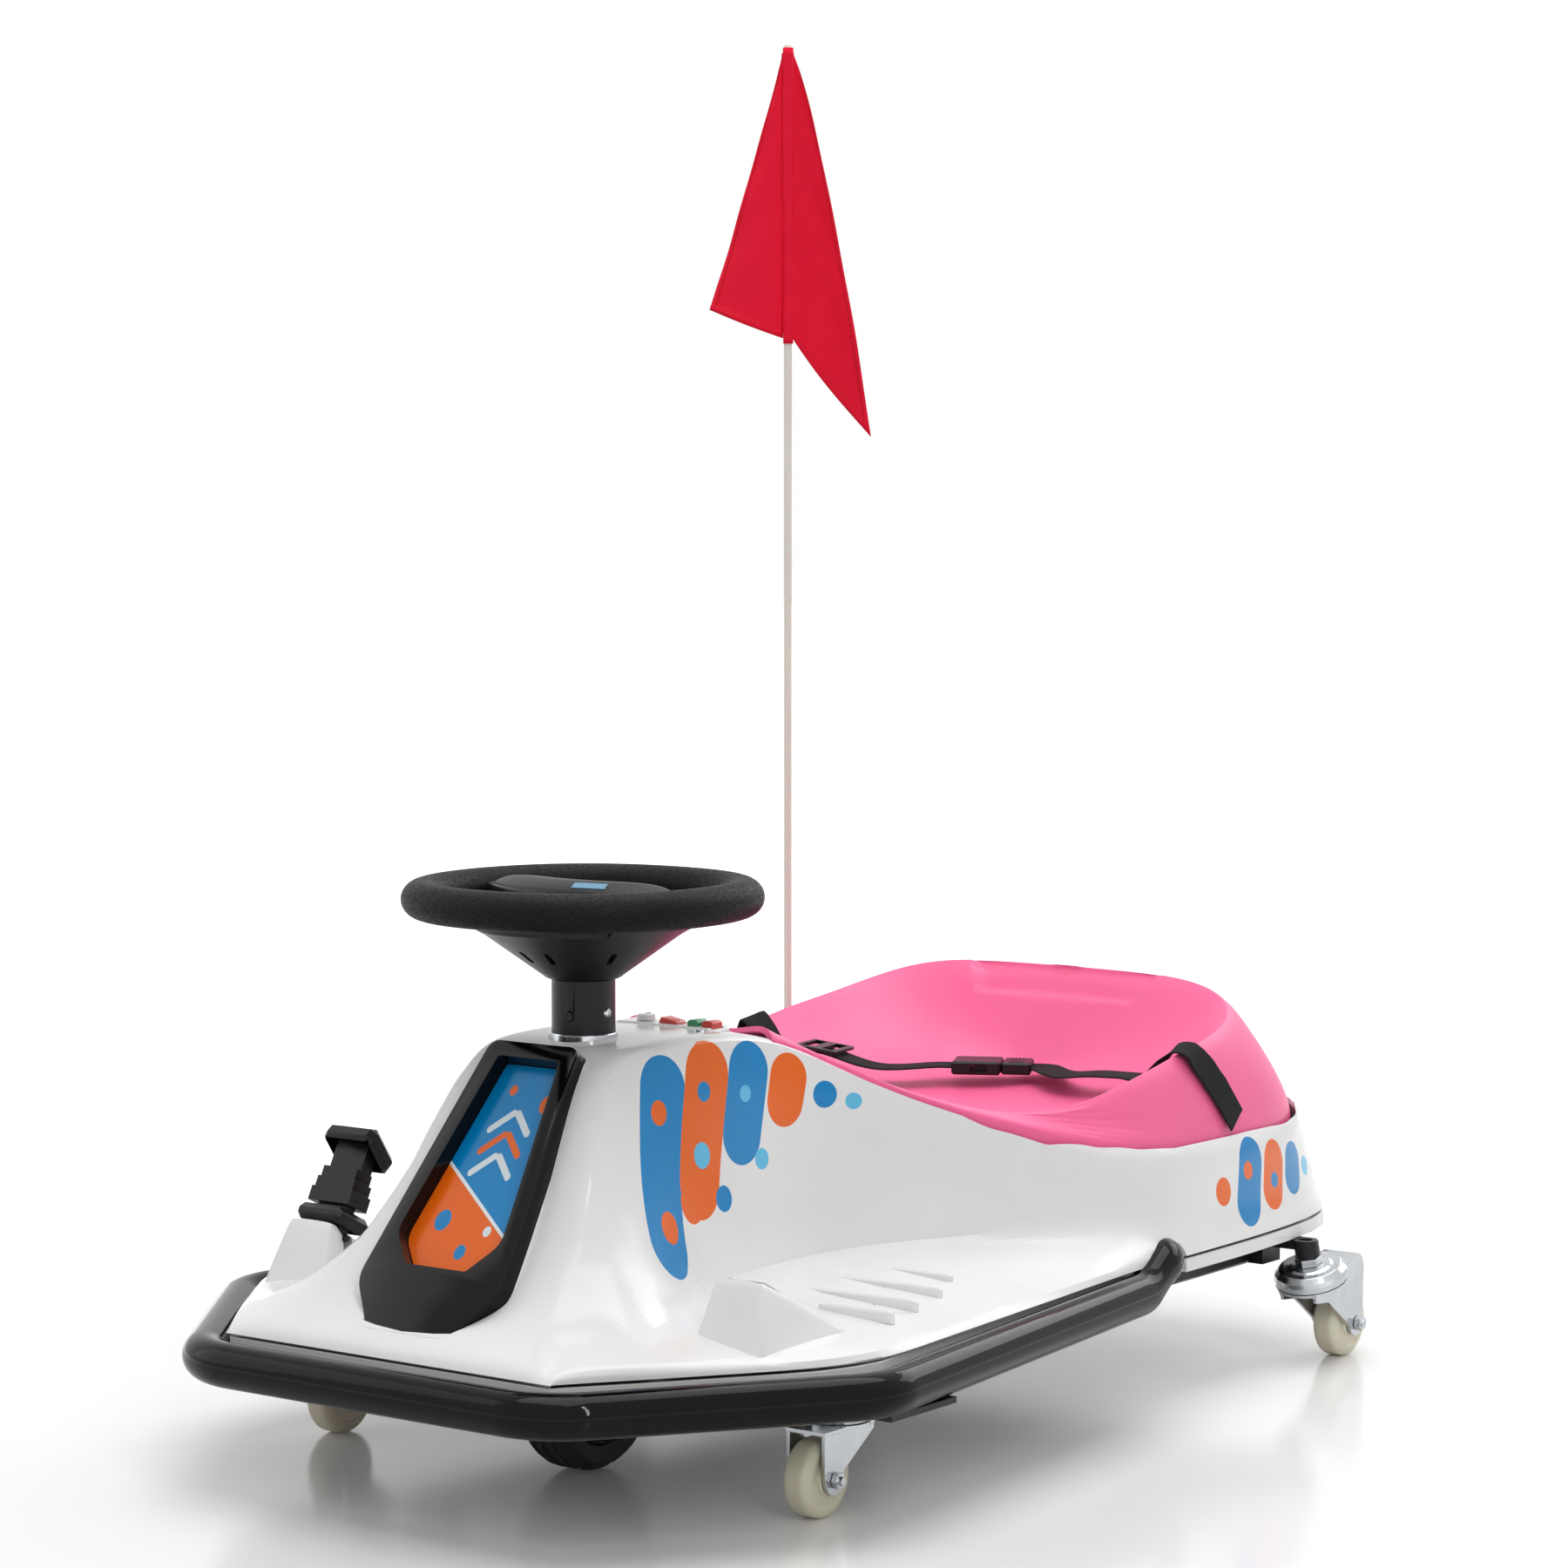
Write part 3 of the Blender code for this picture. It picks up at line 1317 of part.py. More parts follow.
def bezel():
    _, place, lean = face_frame()
    face = empty("nose_face", CAR, place, (lean, 0, 0))
    long = BEZEL_PROUD + BEZEL_DEEP
    rim = plate("nose_bezel", GLOSS, bezel_outline(0), long, face, (0, 0, (BEZEL_PROUD - BEZEL_DEEP) / 2))
    rounded(rim, 0.003, 2)
    cut(rim, plate("bezel_window", GLOSS, bezel_outline(BEZEL_BAND, BEZEL_SILL), 0.08, face))
    panel = bezel_outline(BEZEL_BAND + GAP, BEZEL_SILL + GAP)
    plate("nose_panel", INSERT, panel, 0.003, face, (0, 0, -BEZEL_SINK), bevel=0.0005)
    smooth(rim)


# Accelerator and controls


def accelerator():
    slope, middle = block_frame()
    place = Vector((-middle.x, middle.y, middle.z))
    top = empty("pedal_face", CAR, place, (-slope, 0, 0))
    collar = box(
        "pedal_collar",
        BLACK,
        (BLOCK_TOP_OUT_X - BLOCK_TOP_IN_X, BLOCK_TOP_LONG, COLLAR_H),
        (0, 0, GAP + COLLAR_H / 2),
        0.004,
        parent=top,
    )
    cut(collar, tool_box("collar_hole", (SOCKET_W, SOCKET_LONG, 0.04), (0, 0, 0), top))
    axis = empty("pedal_axis", CAR, pedal_pivot(), (-slope, 0, 0))
    arm_size = (SOCKET_W - 0.004, 0.010, 0.052)
    arm = box("accelerator_pedal", BLACK, arm_size, (0, 0, 0.012 + PIVOT_SINK), 0.001, parent=axis)
    pin = rod("pedal_pin", ZINC, PIN_R, SOCKET_W + 2 * PIN_SEAT, (0, 0, 0), "X", 12, axis)
    join(arm, as_tool(pin))
    for i in range(3):
        size = (0.036 - 0.003 * i, 0.020 - 0.002 * i, 0.010)
        join(arm, tool_box("arm_step", size, (0, 0, STEP_LOW + 0.005 + 0.0075 * i), axis))
    pad_at = (0, 0.003, PEDAL_REACH)
    pad = box("pedal_pad", BLACK, (PEDAL_W, PAD_LONG, PAD_DEEP), pad_at, 0.005, axis, (PAD_TILT, 0, 0))
    join(arm, as_tool(pad))
    wall = 0.003
    under = Vector(pad_at) + Matrix.Rotation(PAD_TILT, 3, "X") @ Vector((0, 0, -wall))
    hollow = (PEDAL_W - 2 * wall, PAD_LONG - 2 * wall, PAD_DEEP)
    cut(arm, tool_box("pad_hollow", hollow, under, axis, (PAD_TILT, 0, 0)))
    stem = tool_box("arm_top", (0.028, 0.011, 0.029), (0, 0.002, PEDAL_REACH - 0.0090), axis)
    join(arm, stem)
    return smooth(arm)


def block_plug():
    """The blanking plug in the left block, where the right one has its pedal."""
    slope, middle = block_frame()
    top = empty("plug_face", CAR, middle, (-slope, 0, 0))
    size = (SOCKET_W - 2 * GAP, SOCKET_LONG - 2 * GAP, 0.010)
    box("foot_block_plug", BLACK, size, (0, 0, -0.0042), 0.001, parent=top)


def controls():
    deep = PANEL_PROUD + PANEL_DEEP
    z = DECK_Z - PANEL_SINK + PANEL_PROUD - deep / 2
    panel = box(
        "control_panel",
        WHITE,
        (PANEL_W - 2 * PANEL_LIP, PANEL_D - 2 * PANEL_LIP, deep),
        (0, PANEL_Y, z),
        0.0025,
    )
    top = z + deep / 2
    y = PANEL_Y
    sink = 0.007
    red_x, green_x, dark_x, knob_x = 0.001, 0.0215, 0.0335, -0.0215
    cut(panel, tool_rod("knob_bore", 0.0045, 2 * sink, (knob_x, y, top), sides=16))
    cut(panel, tool_box("red_bore", (0.0175, 0.0125, 2 * sink), (red_x, y, top)))
    for x, name in ((green_x, "green"), (dark_x, "dark")):
        cut(panel, tool_box(name + "_bore", (0.0098, 0.0125, 2 * sink), (x, y, top)))
    knob = [(0, 0.0045), (0.005, 0.0045), (0.0062, 0.0037), (0.0064, GAP)]
    knob += [(0.0042, GAP), (0.0042, -0.006), (0, -0.006)]
    turned("speed_knob", WHITE, knob, 16, empty("knob_axis", CAR, (knob_x, y, top)))
    pivot = empty("rocker_axis", CAR, (red_x, y, top - 0.002))
    outline = [(-0.0075, 0.0030), (-0.006, 0.0060), (0.0065, 0.0036)]
    outline += [(0.0075, 0.001), (0.006, -0.0030), (-0.006, -0.0030)]
    plate("power_rocker", RED, outline, 0.011, pivot, turn=(math.pi / 2, 0, 0), bevel=0.0004)
    outline = [(-0.0044, 0.0025), (-0.0025, 0.0040), (0.0030, 0.0040)]
    outline += [(0.0044, 0.0025), (0.0044, -0.0035), (-0.0044, -0.0035)]
    for x, name, skin in ((green_x, "green_button", GREEN), (dark_x, "red_button", RED)):
        slide = empty(name + "_axis", CAR, (x, y, top))
        plate(name, skin, outline, 0.0115, slide, turn=(math.pi / 2, 0, 0), bevel=0.0004)


# Seat


def seat_rows():
    """Rows of the seat's cage from its front tongue to the middle of the back."""
    back_z, wing, pan = SEAT_BACK_Z, SEAT_WING_Z, SEAT_Z
    rows = [
        ((0.056, 0.1215, 0.279), (0.030, 0.124, 0.275), (0, 0.124, 0.274)),
        ((0.062, 0.148, 0.265), (0.036, 0.152, 0.256), (0, 0.154, 0.252)),
        ((0.084, 0.194, 0.239), (0.056, 0.208, 0.224), (0, 0.216, 0.218)),
        ((0.126, 0.248, 0.216), (0.096, 0.264, 0.202), (0, 0.280, 0.198)),
        ((0.166, 0.305, 0.205), (0.130, 0.312, pan + 0.004), (0, 0.325, pan + 0.002)),
        ((0.182, 0.366, wing - 0.018), (0.145, 0.364, pan + 0.002), (0, 0.368, pan)),
        ((0.184, 0.448, wing), (0.147, 0.436, pan + 0.003), (0, 0.420, pan)),
        ((0.178, 0.514, wing + 0.007), (0.138, 0.484, pan + 0.009), (0, 0.458, pan)),
        ((0.160, 0.556, wing + 0.020), (0.117, 0.516, pan + 0.019), (0, 0.484, pan + 0.001)),
        ((0.126, SEAT_BACK_Y - 0.003, back_z - 0.004), (0.084, 0.532, pan + 0.025), (0, 0.502, pan + 0.002)),
        ((0.076, SEAT_BACK_Y, back_z), (0.050, 0.536, pan + 0.026), (0, 0.511, pan + 0.003)),
        ((0, SEAT_BACK_Y + 0.001, back_z), (0, 0.538, pan + 0.026), (0, 0.518, pan + 0.005)),
    ]
    return [tuple(Vector(p) for p in row) for row in rows]


def point_along(line, part):
    """The point at a share of a line's length."""
    steps = [(b - a).length for a, b in zip(line, line[1:])]
    left = part * sum(steps)
    for a, b, step in zip(line, line[1:], steps):
        if left <= step:
            return a.lerp(b, left / step)
        left -= step
    return line[-1].copy()


def seat_cage():
    rows = seat_rows()
    grid = []
    for (top, inner, centre), foot, share in zip(rows, seat_feet(), SEAT_SHARES):
        out = (foot - inner).to_2d().normalized().to_3d() if share < 1 else Vector((0, 1, 0))
        skirt = foot - Vector((0, 0, SEAT_SKIRT))
        ledge = foot + Vector((0, 0, 0.001))
        rise = ledge.lerp(top, 0.5) + out * 0.009 * min(1, (top.z - ledge.z) / 0.06)
        roll = top - out * SEAT_ROLL
        if share == 1:
            roll.x = 0
        grid.append([skirt, ledge, rise, top, roll, inner, centre])

    def build(shape):
        places = [[shape.verts.new(p) for p in row] for row in grid]
        for a, b in zip(places, places[1:]):
            for i in range(len(a) - 1):
                shape.faces.new((a[i + 1], a[i], b[i], b[i + 1]))

    return mesh_of(build, "seat_shell")


def seat():
    shell = add("seat_shell", seat_cage(), PINK)
    halves = shell.modifiers.new("halves", "MIRROR")
    halves.merge_threshold = 0.00001
    soft = shell.modifiers.new("soft_form", "SUBSURF")
    soft.levels = 1
    soft.render_levels = 1
    skin = shell.modifiers.new("wall", "SOLIDIFY")
    skin.thickness = SEAT_WALL
    skin.offset = -1
    return smooth(shell, 60)


# Flag


def flag():
    rim_z = RIM_Z + 0.003
    socket_low = rim_z - 0.0035
    rod_low = socket_low + 0.004
    top = [
        (0, socket_low + 0.003),
        (ROD_D / 2 + GAP, socket_low + 0.003),
        (ROD_D / 2 + GAP, socket_low + 0.024),
        (SOCKET_D / 2 - 0.001, socket_low + 0.024),
        (SOCKET_D / 2, socket_low + 0.022),
        (SOCKET_D / 2, socket_low),
        (0, socket_low),
    ]
    turned("flag_socket", BLACK, top, 20, at=(ROD_X, ROD_Y, 0))
    long = ROD_TOP_Z - rod_low
    rod("flag_rod", RESIN, ROD_D / 2, long, (ROD_X, ROD_Y, rod_low + long / 2), "Z", 12)


def flag_cloth():
    """The folded pennant: a sleeve on the rod with a lobe hanging on each side."""
    low = FLAG_TOP_Z - FLAG_HOIST
    inner = ROD_D / 2 + RUNNING
    outer = inner + CLOTH_THICK
    sleeve = [(inner, FLAG_TOP_Z), (outer, FLAG_TOP_Z), (outer, low), (inner, low)]
    cloth = turned("flag_cloth", CLOTH, sleeve, 14, at=(ROD_X, ROD_Y, 0), ring=True)
    middle = inner + CLOTH_THICK / 2
    for name, out, drop in FLAG_LOBES:
        rows = 9
        grid = []
        for i in range(rows):
            share = i / (rows - 1)
            reach = out.length * share**1.15
            start_z = FLAG_TOP_Z - 0.004 - (FLAG_HOIST - 0.008) * share
            fall = drop * share**1.6
            row = []
            for k in range(5):
                across = k / 4
                swing = math.sin(math.pi * across) * FLAG_FOLD * share
                spot = out.normalized() * (middle + max(reach, 0.0008) * across)
                side = Vector((-out.y, out.x)).normalized() * swing
                row.append((spot.x + side.x, spot.y + side.y, start_z - fall * across))
            grid.append(row)

        def build(shape, grid=grid):
            places = [[shape.verts.new(p) for p in row] for row in grid]
            for a, b in zip(places, places[1:]):
                for i in range(len(a) - 1):
                    shape.faces.new((a[i], a[i + 1], b[i + 1], b[i]))

        lobe = add(name, mesh_of(build, name), CLOTH, at=(ROD_X, ROD_Y, 0))
        body = lobe.modifiers.new("cloth", "SOLIDIFY")
        body.thickness = CLOTH_THICK * 0.8
        body.offset = 0
        join(cloth, as_tool(lobe))
    return cloth


FLAG_FOLD = 0.010
FLAG_LOBES = (
    ("left_lobe", Vector((-0.0545, -0.020)), 0.0),
    ("right_lobe", Vector((0.038, 0.049)), 0.074),
)


def seat_surface(seat_shell):
    """A finder of points on the seat, from outside towards a point within it."""
    bpy.context.view_layer.update()
    tree = BVHTree.FromObject(seat_shell, bpy.context.evaluated_depsgraph_get())

    def found(start, towards):
        ray = (towards - start).normalized()
        hit, normal, _, _ = tree.ray_cast(start, ray)
        return hit + (normal if normal.dot(ray) < 0 else -normal) * BELT_RISE

    return found


def strap(name, path, across):
    """Flat webbing along places and the directions of its width there, or else the direction across."""

    def build(shape):
        rings = []
        for i, (spot, wide) in enumerate(path):
            along = (path[min(i + 1, len(path) - 1)][0] - path[max(i - 1, 0)][0]).normalized()
            wide = across if wide is None else wide
            wide = (wide - along * wide.dot(along)).normalized() * BELT_W / 2
            thick = along.cross(wide).normalized() * BELT_THICK / 2
            corners = (spot - wide - thick, spot + wide - thick, spot + wide + thick, spot - wide + thick)
            rings.append([shape.verts.new(c) for c in corners])
        for a, b in zip(rings, rings[1:]):
            for i in range(4):
                k = (i + 1) % 4
                shape.faces.new((a[i], a[k], b[k], b[i]))
        shape.faces.new(rings[0])
        shape.faces.new(rings[-1])

    return add(name, mesh_of(build, name), WEBBING)


def over_wing(find, side, low_y, high_y):
    """Places up the outside of a wing of the seat, over its top and down its inside."""
    start, end = -10, 128
    steps = 18
    places = []
    for i in range(steps):
        share = i / (steps - 1)
        turn = math.radians(start + (end - start) * share)
        y = low_y + (high_y - low_y) * min(1, share * 1.6)
        ray = Vector((side * math.cos(turn), 0, math.sin(turn))) * 0.12
        hits = []
        for shift in (-0.012, 0, 0.012):
            heart = Vector((side * 0.160, y + shift, 0.205))
            hits.append(find(heart + ray, heart))
        out = ray.normalized()
        lift = max((hit - hits[1]).dot(out) for hit in hits)
        places.append((hits[1] + out * (lift + 0.0004), (hits[2] - hits[0]).normalized()))
    return places


def belt(seat_shell):
    find = seat_surface(seat_shell)
    along = Vector((math.cos(BUCKLE_TURN), math.sin(BUCKLE_TURN), 0))
    middle = Vector(BUCKLE)
    across = Vector((-0.25, 0.95, 0))

    def resting(line, end, inward):
        """A smooth free run to the buckle, lifted where the seat stands higher than it would."""
        places = []
        for spot in smooth_through([*line, end], 4)[1:-1]:
            for x, y in ((0, 0), (0.012, 0), (-0.012, 0), (0, 0.012), (0, -0.012)):
                over = spot + Vector((x, y, 0.08))
                spot.z = max(spot.z, find(over, over - Vector((0, 0, 0.1))).z + 0.0012)
            places.append((spot, None))
        width = Vector((-along.y, along.x, 0))
        return [*places, (end, width), (end + inward * 0.010, width)]

    near = over_wing(find, 1, 0.474, 0.440)
    line = [near[-1][0], (0.106, 0.452, 0.2140), (0.064, 0.472, 0.2080)]
    near += resting(line, middle + along * 0.040, -along)
    strap("belt_strap_left", near, across)
    far = over_wing(find, -1, 0.430, 0.418)
    line = [far[-1][0], (-0.118, 0.425, 0.2160), (-0.074, 0.432, 0.2070)]
    far += resting(line, middle - along * 0.036, along)
    strap("belt_strap_right", far, across)
    buckle_halves(empty("buckle_place", CAR, middle, (0, 0, BUCKLE_TURN)))
    first, second = far[20][0], far[22][0]
    turn = (second - first).to_track_quat("X", "Z").to_euler()
    glide = empty("glide_place", CAR, (first + second) / 2, turn)
    frame_size = (0.034, BELT_W + 0.008, 0.0030)
    rise = BELT_THICK / 2 + frame_size[2] / 2 + 0.0010
    slide = box("tri_glide", BLACK, frame_size, (0, 0, rise), 0.0008, glide)
    for x in (-0.0085, 0.0085):
        cut(slide, tool_box("glide_slot", (0.009, BELT_W + 0.001, 0.02), (x, 0, rise), glide))


def buckle_halves(place):
    """A side-release buckle: the socket with its two windows, and the clip with its prongs."""
    high, wide, long = 0.010, 0.031, 0.036
    bore_w, bore_h = 0.0245, 0.0064
    socket = box("buckle_socket", BLACK, (long, wide, high), (-0.008, 0, 0), 0.0015, place)
    cut(socket, tool_box("socket_bore", (0.030, bore_w, bore_h), (0.006, 0, 0), place))
    cut(socket, tool_box("socket_windows", (0.012, wide + 0.01, bore_h - 0.001), (-0.006, 0, 0), place))
    strap_hole = (0.012, BELT_W + 0.001, BELT_THICK + 0.001)
    cut(socket, tool_box("socket_strap_hole", strap_hole, (-0.027, 0, 0), place))
    clip = box("buckle_clip", BLACK, (0.022, wide - 0.002, high - 0.001), (0.0215, 0, 0), 0.0015, place)
    for y in (-1, 1):
        join(clip, tool_box("prong", (0.026, 0.0045, 0.0050), (0.003, y * 0.0088, 0), place))
    join(clip, tool_box("blade", (0.020, 0.006, 0.0030), (0.005, 0, 0), place))
    cut(clip, tool_box("clip_strap_hole", strap_hole, (0.0315, 0, 0), place))


def electrics():
    z = PAN_Z + PAN_WALL + GAP
    box("battery", CASE, BATTERY, (0, BATTERY_Y, z + BATTERY[2] / 2), 0.002)
    box("motor_controller", ALLOY, CONTROLLER, (0, CONTROLLER_Y, z + CONTROLLER[2] / 2), 0.0015)


def main():
    body_shell()
    underbody_pan()
    bumper_tube()
    frame()
    rear_beam()
    for side, name in ((1, "left"), (-1, "right")):
        front_caster(side, name)
        rear_caster(side, name)
    steer = drive_unit()
    column_bridge()
    column_ring()
    steering_wheel(steer)
    bezel()
    accelerator()
    block_plug()
    controls()
    belt(seat())
    flag()
    flag_cloth()
    electrics()


main()
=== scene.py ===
"""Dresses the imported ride-on drift car: finishes, webbing, cloth, screws, printed panels and a plain
studio. The car faces -Y, its left side is +X, +Z is up, and every length is in metres.
"""

import json
import math

import bmesh
import bpy
from mathutils import Matrix, Vector
from mathutils.bvhtree import BVHTree


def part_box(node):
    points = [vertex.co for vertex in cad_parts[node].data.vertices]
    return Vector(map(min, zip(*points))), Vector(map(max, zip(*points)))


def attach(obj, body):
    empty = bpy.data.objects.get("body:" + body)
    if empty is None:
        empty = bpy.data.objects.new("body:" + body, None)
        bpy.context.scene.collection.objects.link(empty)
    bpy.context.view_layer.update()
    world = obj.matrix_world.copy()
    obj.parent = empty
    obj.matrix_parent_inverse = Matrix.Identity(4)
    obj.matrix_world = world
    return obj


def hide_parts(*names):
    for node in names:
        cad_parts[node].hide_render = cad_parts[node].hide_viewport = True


bl_info = {
    "name": "Drift car dressing",
    "version": (1, 0, 0),
    "blender": (4, 5, 0),
    "location": "View3D > Sidebar > Drift car",
    "description": "Finishes, cloth, webbing and small parts for the packed drift car",
    "category": "Object",
}

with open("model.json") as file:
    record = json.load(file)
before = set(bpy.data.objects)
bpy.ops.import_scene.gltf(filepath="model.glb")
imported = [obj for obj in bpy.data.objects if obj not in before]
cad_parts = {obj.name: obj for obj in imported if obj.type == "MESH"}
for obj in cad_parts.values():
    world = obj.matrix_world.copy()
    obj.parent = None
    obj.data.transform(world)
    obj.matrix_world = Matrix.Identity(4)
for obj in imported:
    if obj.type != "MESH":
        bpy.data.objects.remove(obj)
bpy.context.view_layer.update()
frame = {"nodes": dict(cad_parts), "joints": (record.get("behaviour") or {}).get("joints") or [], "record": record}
RECORD = frame["record"]
JOINTS = {joint["name"]: joint.get("pos_m") for joint in frame["joints"]}
STEER_Y = JOINTS["steering_turn"][1]
NODE_BODY = {node: body for body, nodes in RECORD["behaviour"]["bodies"].items() for node in nodes}
NODE_SLOT = {part["node"]: part["material_slot"] for part in RECORD["subparts"]}
SIDES = ((1, "left"), (-1, "right"))


# Settings that a user would change


def colour(name, value):
    return bpy.props.FloatVectorProperty(
        name=name, description=name + ", linear", subtype="COLOR", size=3, min=0, max=1, default=value
    )


def length(name, value, words):
    return bpy.props.FloatProperty(
        name=name, description=words, subtype="DISTANCE", unit="LENGTH", default=value
    )


class DriftCarColours(bpy.types.PropertyGroup):
    """Colours of the car's finishes."""

    body: colour("Body white", (0.82, 0.82, 0.82))
    seat: colour("Seat pink", (0.93, 0.135, 0.33))
    flag: colour("Pennant red", (0.88, 0.008, 0.040))
    blue: colour("Print blue", (0.0, 0.23, 0.56))
    orange: colour("Print orange", (0.84, 0.135, 0.004))
    black: colour("Moulding black", (0.008, 0.008, 0.009))
    zinc: colour("Zinc plate", (0.55, 0.57, 0.59))
    nylon: colour("Caster nylon", (0.72, 0.68, 0.53))


class DriftCarSizes(bpy.types.PropertyGroup):
    """Sizes of the small parts and of the textures."""

    screw: length("Screw head", 0.0062, "Width of the pan heads on the mouldings")
    weave: length("Webbing rib", 0.0016, "Distance between the ribs of the belt's weave")
    thread: length("Cloth thread", 0.0008, "Distance between the threads of the pennant")
    stitch: length("Stitch", 0.0032, "Length of one stitch in the hems")
    edge: length("Edge radius", 0.0005, "Rounding of the plain machined and moulded edges")


# Node trees


class Net:
    """A short way to lay nodes in a tree."""

    def __init__(self, tree):
        self.tree = tree

    def add(self, kind, inputs=None, **settings):
        node = self.tree.nodes.new(kind)
        for name, value in settings.items():
            setattr(node, name, value)
        for name, value in (inputs or {}).items():
            self.feed(node.inputs[name], value)
        return node

    def feed(self, socket, value):
        if isinstance(value, bpy.types.NodeSocket):
            self.tree.links.new(value, socket)
        elif value is not None:
            socket.default_value = value

    def math(self, operation, first, second=None, clamp=False):
        inputs = {0: first, 1: second}
        return self.add("ShaderNodeMath", inputs, operation=operation, use_clamp=clamp).outputs[0]

    def plus(self, first, second, clamp=False):
        return self.math("ADD", first, second, clamp)

    def times(self, first, second):
        return self.math("MULTIPLY", first, second)

    def vector(self, operation, first, second=None):
        node = self.add("ShaderNodeVectorMath", {0: first, 1: second}, operation=operation)
        return node.outputs["Value" if operation == "LENGTH" else "Vector"]

    def mix(self, factor, first, second):
        node = self.add("ShaderNodeMix", data_type="RGBA")
        for name, value in (("Factor_Float", factor), ("A_Color", first), ("B_Color", second)):
            self.feed(next(s for s in node.inputs if s.identifier == name), value)
        return next(s for s in node.outputs if s.identifier == "Result_Color")

    def noise(self, where, scale, detail=3.0, roughness=0.5):
        inputs = {"Vector": where, "Scale": scale, "Detail": detail, "Roughness": roughness}
        return self.add("ShaderNodeTexNoise", inputs).outputs["Fac"]

    def span(self, value, low, high, to_low=0.0, to_high=1.0, kind="SMOOTHSTEP"):
        inputs = dict(enumerate((value, low, high, to_low, to_high)))
        return self.add("ShaderNodeMapRange", inputs, interpolation_type=kind).outputs[0]

    def place(self):
        return self.add("ShaderNodeTexCoord").outputs["Object"]

    def parts(self, vector):
        return self.add("ShaderNodeSeparateXYZ", {"Vector": vector}).outputs

    def grey(self, value):
        return self.add("ShaderNodeCombineXYZ", dict.fromkeys("XYZ", value)).outputs[0]

    def shaded(self, tint, amount):
        return self.vector("MULTIPLY", tint, self.grey(amount))


def moulded_surface(net, given):
    """Moulded plastic: slow tone change, fine skin and faint handling marks."""
    spot = net.place()
    slow = net.noise(spot, 9.0, 2.0)
    rubbed = net.noise(net.vector("MULTIPLY", spot, (30.0, 160.0, 60.0)), 1.0)
    rough = net.plus(given["Roughness"], net.times(net.span(rubbed, 0.62, 0.78), given["Marks"]))
    return {
        "Colour": net.shaded(given["Colour"], net.span(slow, 0.3, 0.7, 0.965, 1.02)),
        "Roughness": net.plus(rough, net.times(net.math("SUBTRACT", slow, 0.5), 0.06), clamp=True),
        "Height": net.noise(spot, given["Grain"], 4.0, 0.6),
    }


def leather_grain(net, given):
    """Pebbled skin of the steering wheel, with painted shade in the cracks between the pebbles."""
    spot = net.place()
    cells = {"Vector": spot, "Scale": given["Pebbles"]}
    cell = net.add("ShaderNodeTexVoronoi", cells, feature="SMOOTH_F1")
    pebble = net.span(cell.outputs["Distance"], 0.1, 0.75, 1.0, 0.0)
    return {
        # Painted shade: the cracks, where pebble is 0, get a darker colour than the pebbles' tops
        "Colour": net.mix(pebble, (0.005, 0.005, 0.0055, 1), given["Colour"]),
        "Roughness": net.span(pebble, 0.0, 1.0, 0.62, 0.44),
        "Height": net.plus(net.times(pebble, 0.8), net.times(net.noise(spot, 2600.0, 2.0), 0.2)),
    }


def woven_threads(net, given):
    """Plain weave from the surface's own UV, in metres along and across the cloth, with painted shade in the dips
    between the threads.
    """
    flat = net.parts(net.add("ShaderNodeUVMap", uv_map="cloth").outputs[0])
    turn = net.math("DIVIDE", math.pi, given["Thread"])
    along = net.math("SINE", net.times(flat["X"], turn))
    across = net.math("SINE", net.times(net.times(flat["Y"], turn), given["Ratio"]))
    weave = net.plus(net.times(net.times(along, across), 0.35), 0.5)
    height = net.plus(net.times(weave, 0.6), net.times(net.math("ABSOLUTE", across), 0.4))
    fuzz = net.noise(net.place(), 1500.0, 3.0, 0.7)
    # Painted shade: the colour follows the weave's height times Contrast, darker in the dips and lighter on the
    # thread tops, and fuzz adds a random tone
    shade = net.plus(net.times(height, given["Contrast"]), net.times(fuzz, 0.12))
    shade = net.plus(shade, net.math("SUBTRACT", 0.94, net.times(given["Contrast"], 0.5)))
    return {
        "Colour": net.shaded(given["Colour"], shade),
        "Roughness": net.span(fuzz, 0.2, 0.8, 0.7, 0.9),
        "Height": height,
    }


def metal_bloom(net, given):
    """Zinc plate and cast alloy: cloudy tone, drawn streaks and dull specks."""
    spot = net.place()
    cloud = net.noise(spot, 60.0, 4.0, 0.6)
    speck = net.span(net.noise(spot, 700.0, 2.0), 0.66, 0.74)
    tint = net.shaded(given["Colour"], net.span(cloud, 0.3, 0.7, 0.94, 1.03))
    rough = net.plus(given["Roughness"], net.times(cloud, 0.08))
    return {
        "Colour": net.mix(net.times(speck, 0.15), tint, (0.30, 0.31, 0.32, 1)),
        "Roughness": net.plus(rough, net.times(speck, 0.2)),
        "Height": net.noise(net.vector("MULTIPLY", spot, (900.0, 900.0, 60.0)), 1.0, 2.0),
    }


def settled_dust(net, given):
    """Dust that lies on what faces up and gathers in a cloudy way."""
    up = net.parts(net.add("ShaderNodeNewGeometry").outputs["Normal"])["Z"]
    cloud = net.span(net.noise(net.place(), 40.0, 5.0, 0.7), 0.42, 0.7)
    amount = net.times(net.times(net.span(up, 0.1, 1.0), cloud), given["Amount"])
    return {
        "Colour": net.mix(amount, given["Colour"], (0.42, 0.40, 0.37, 1)),
        "Roughness": net.plus(given["Roughness"], net.times(amount, 0.5), clamp=True),
    }


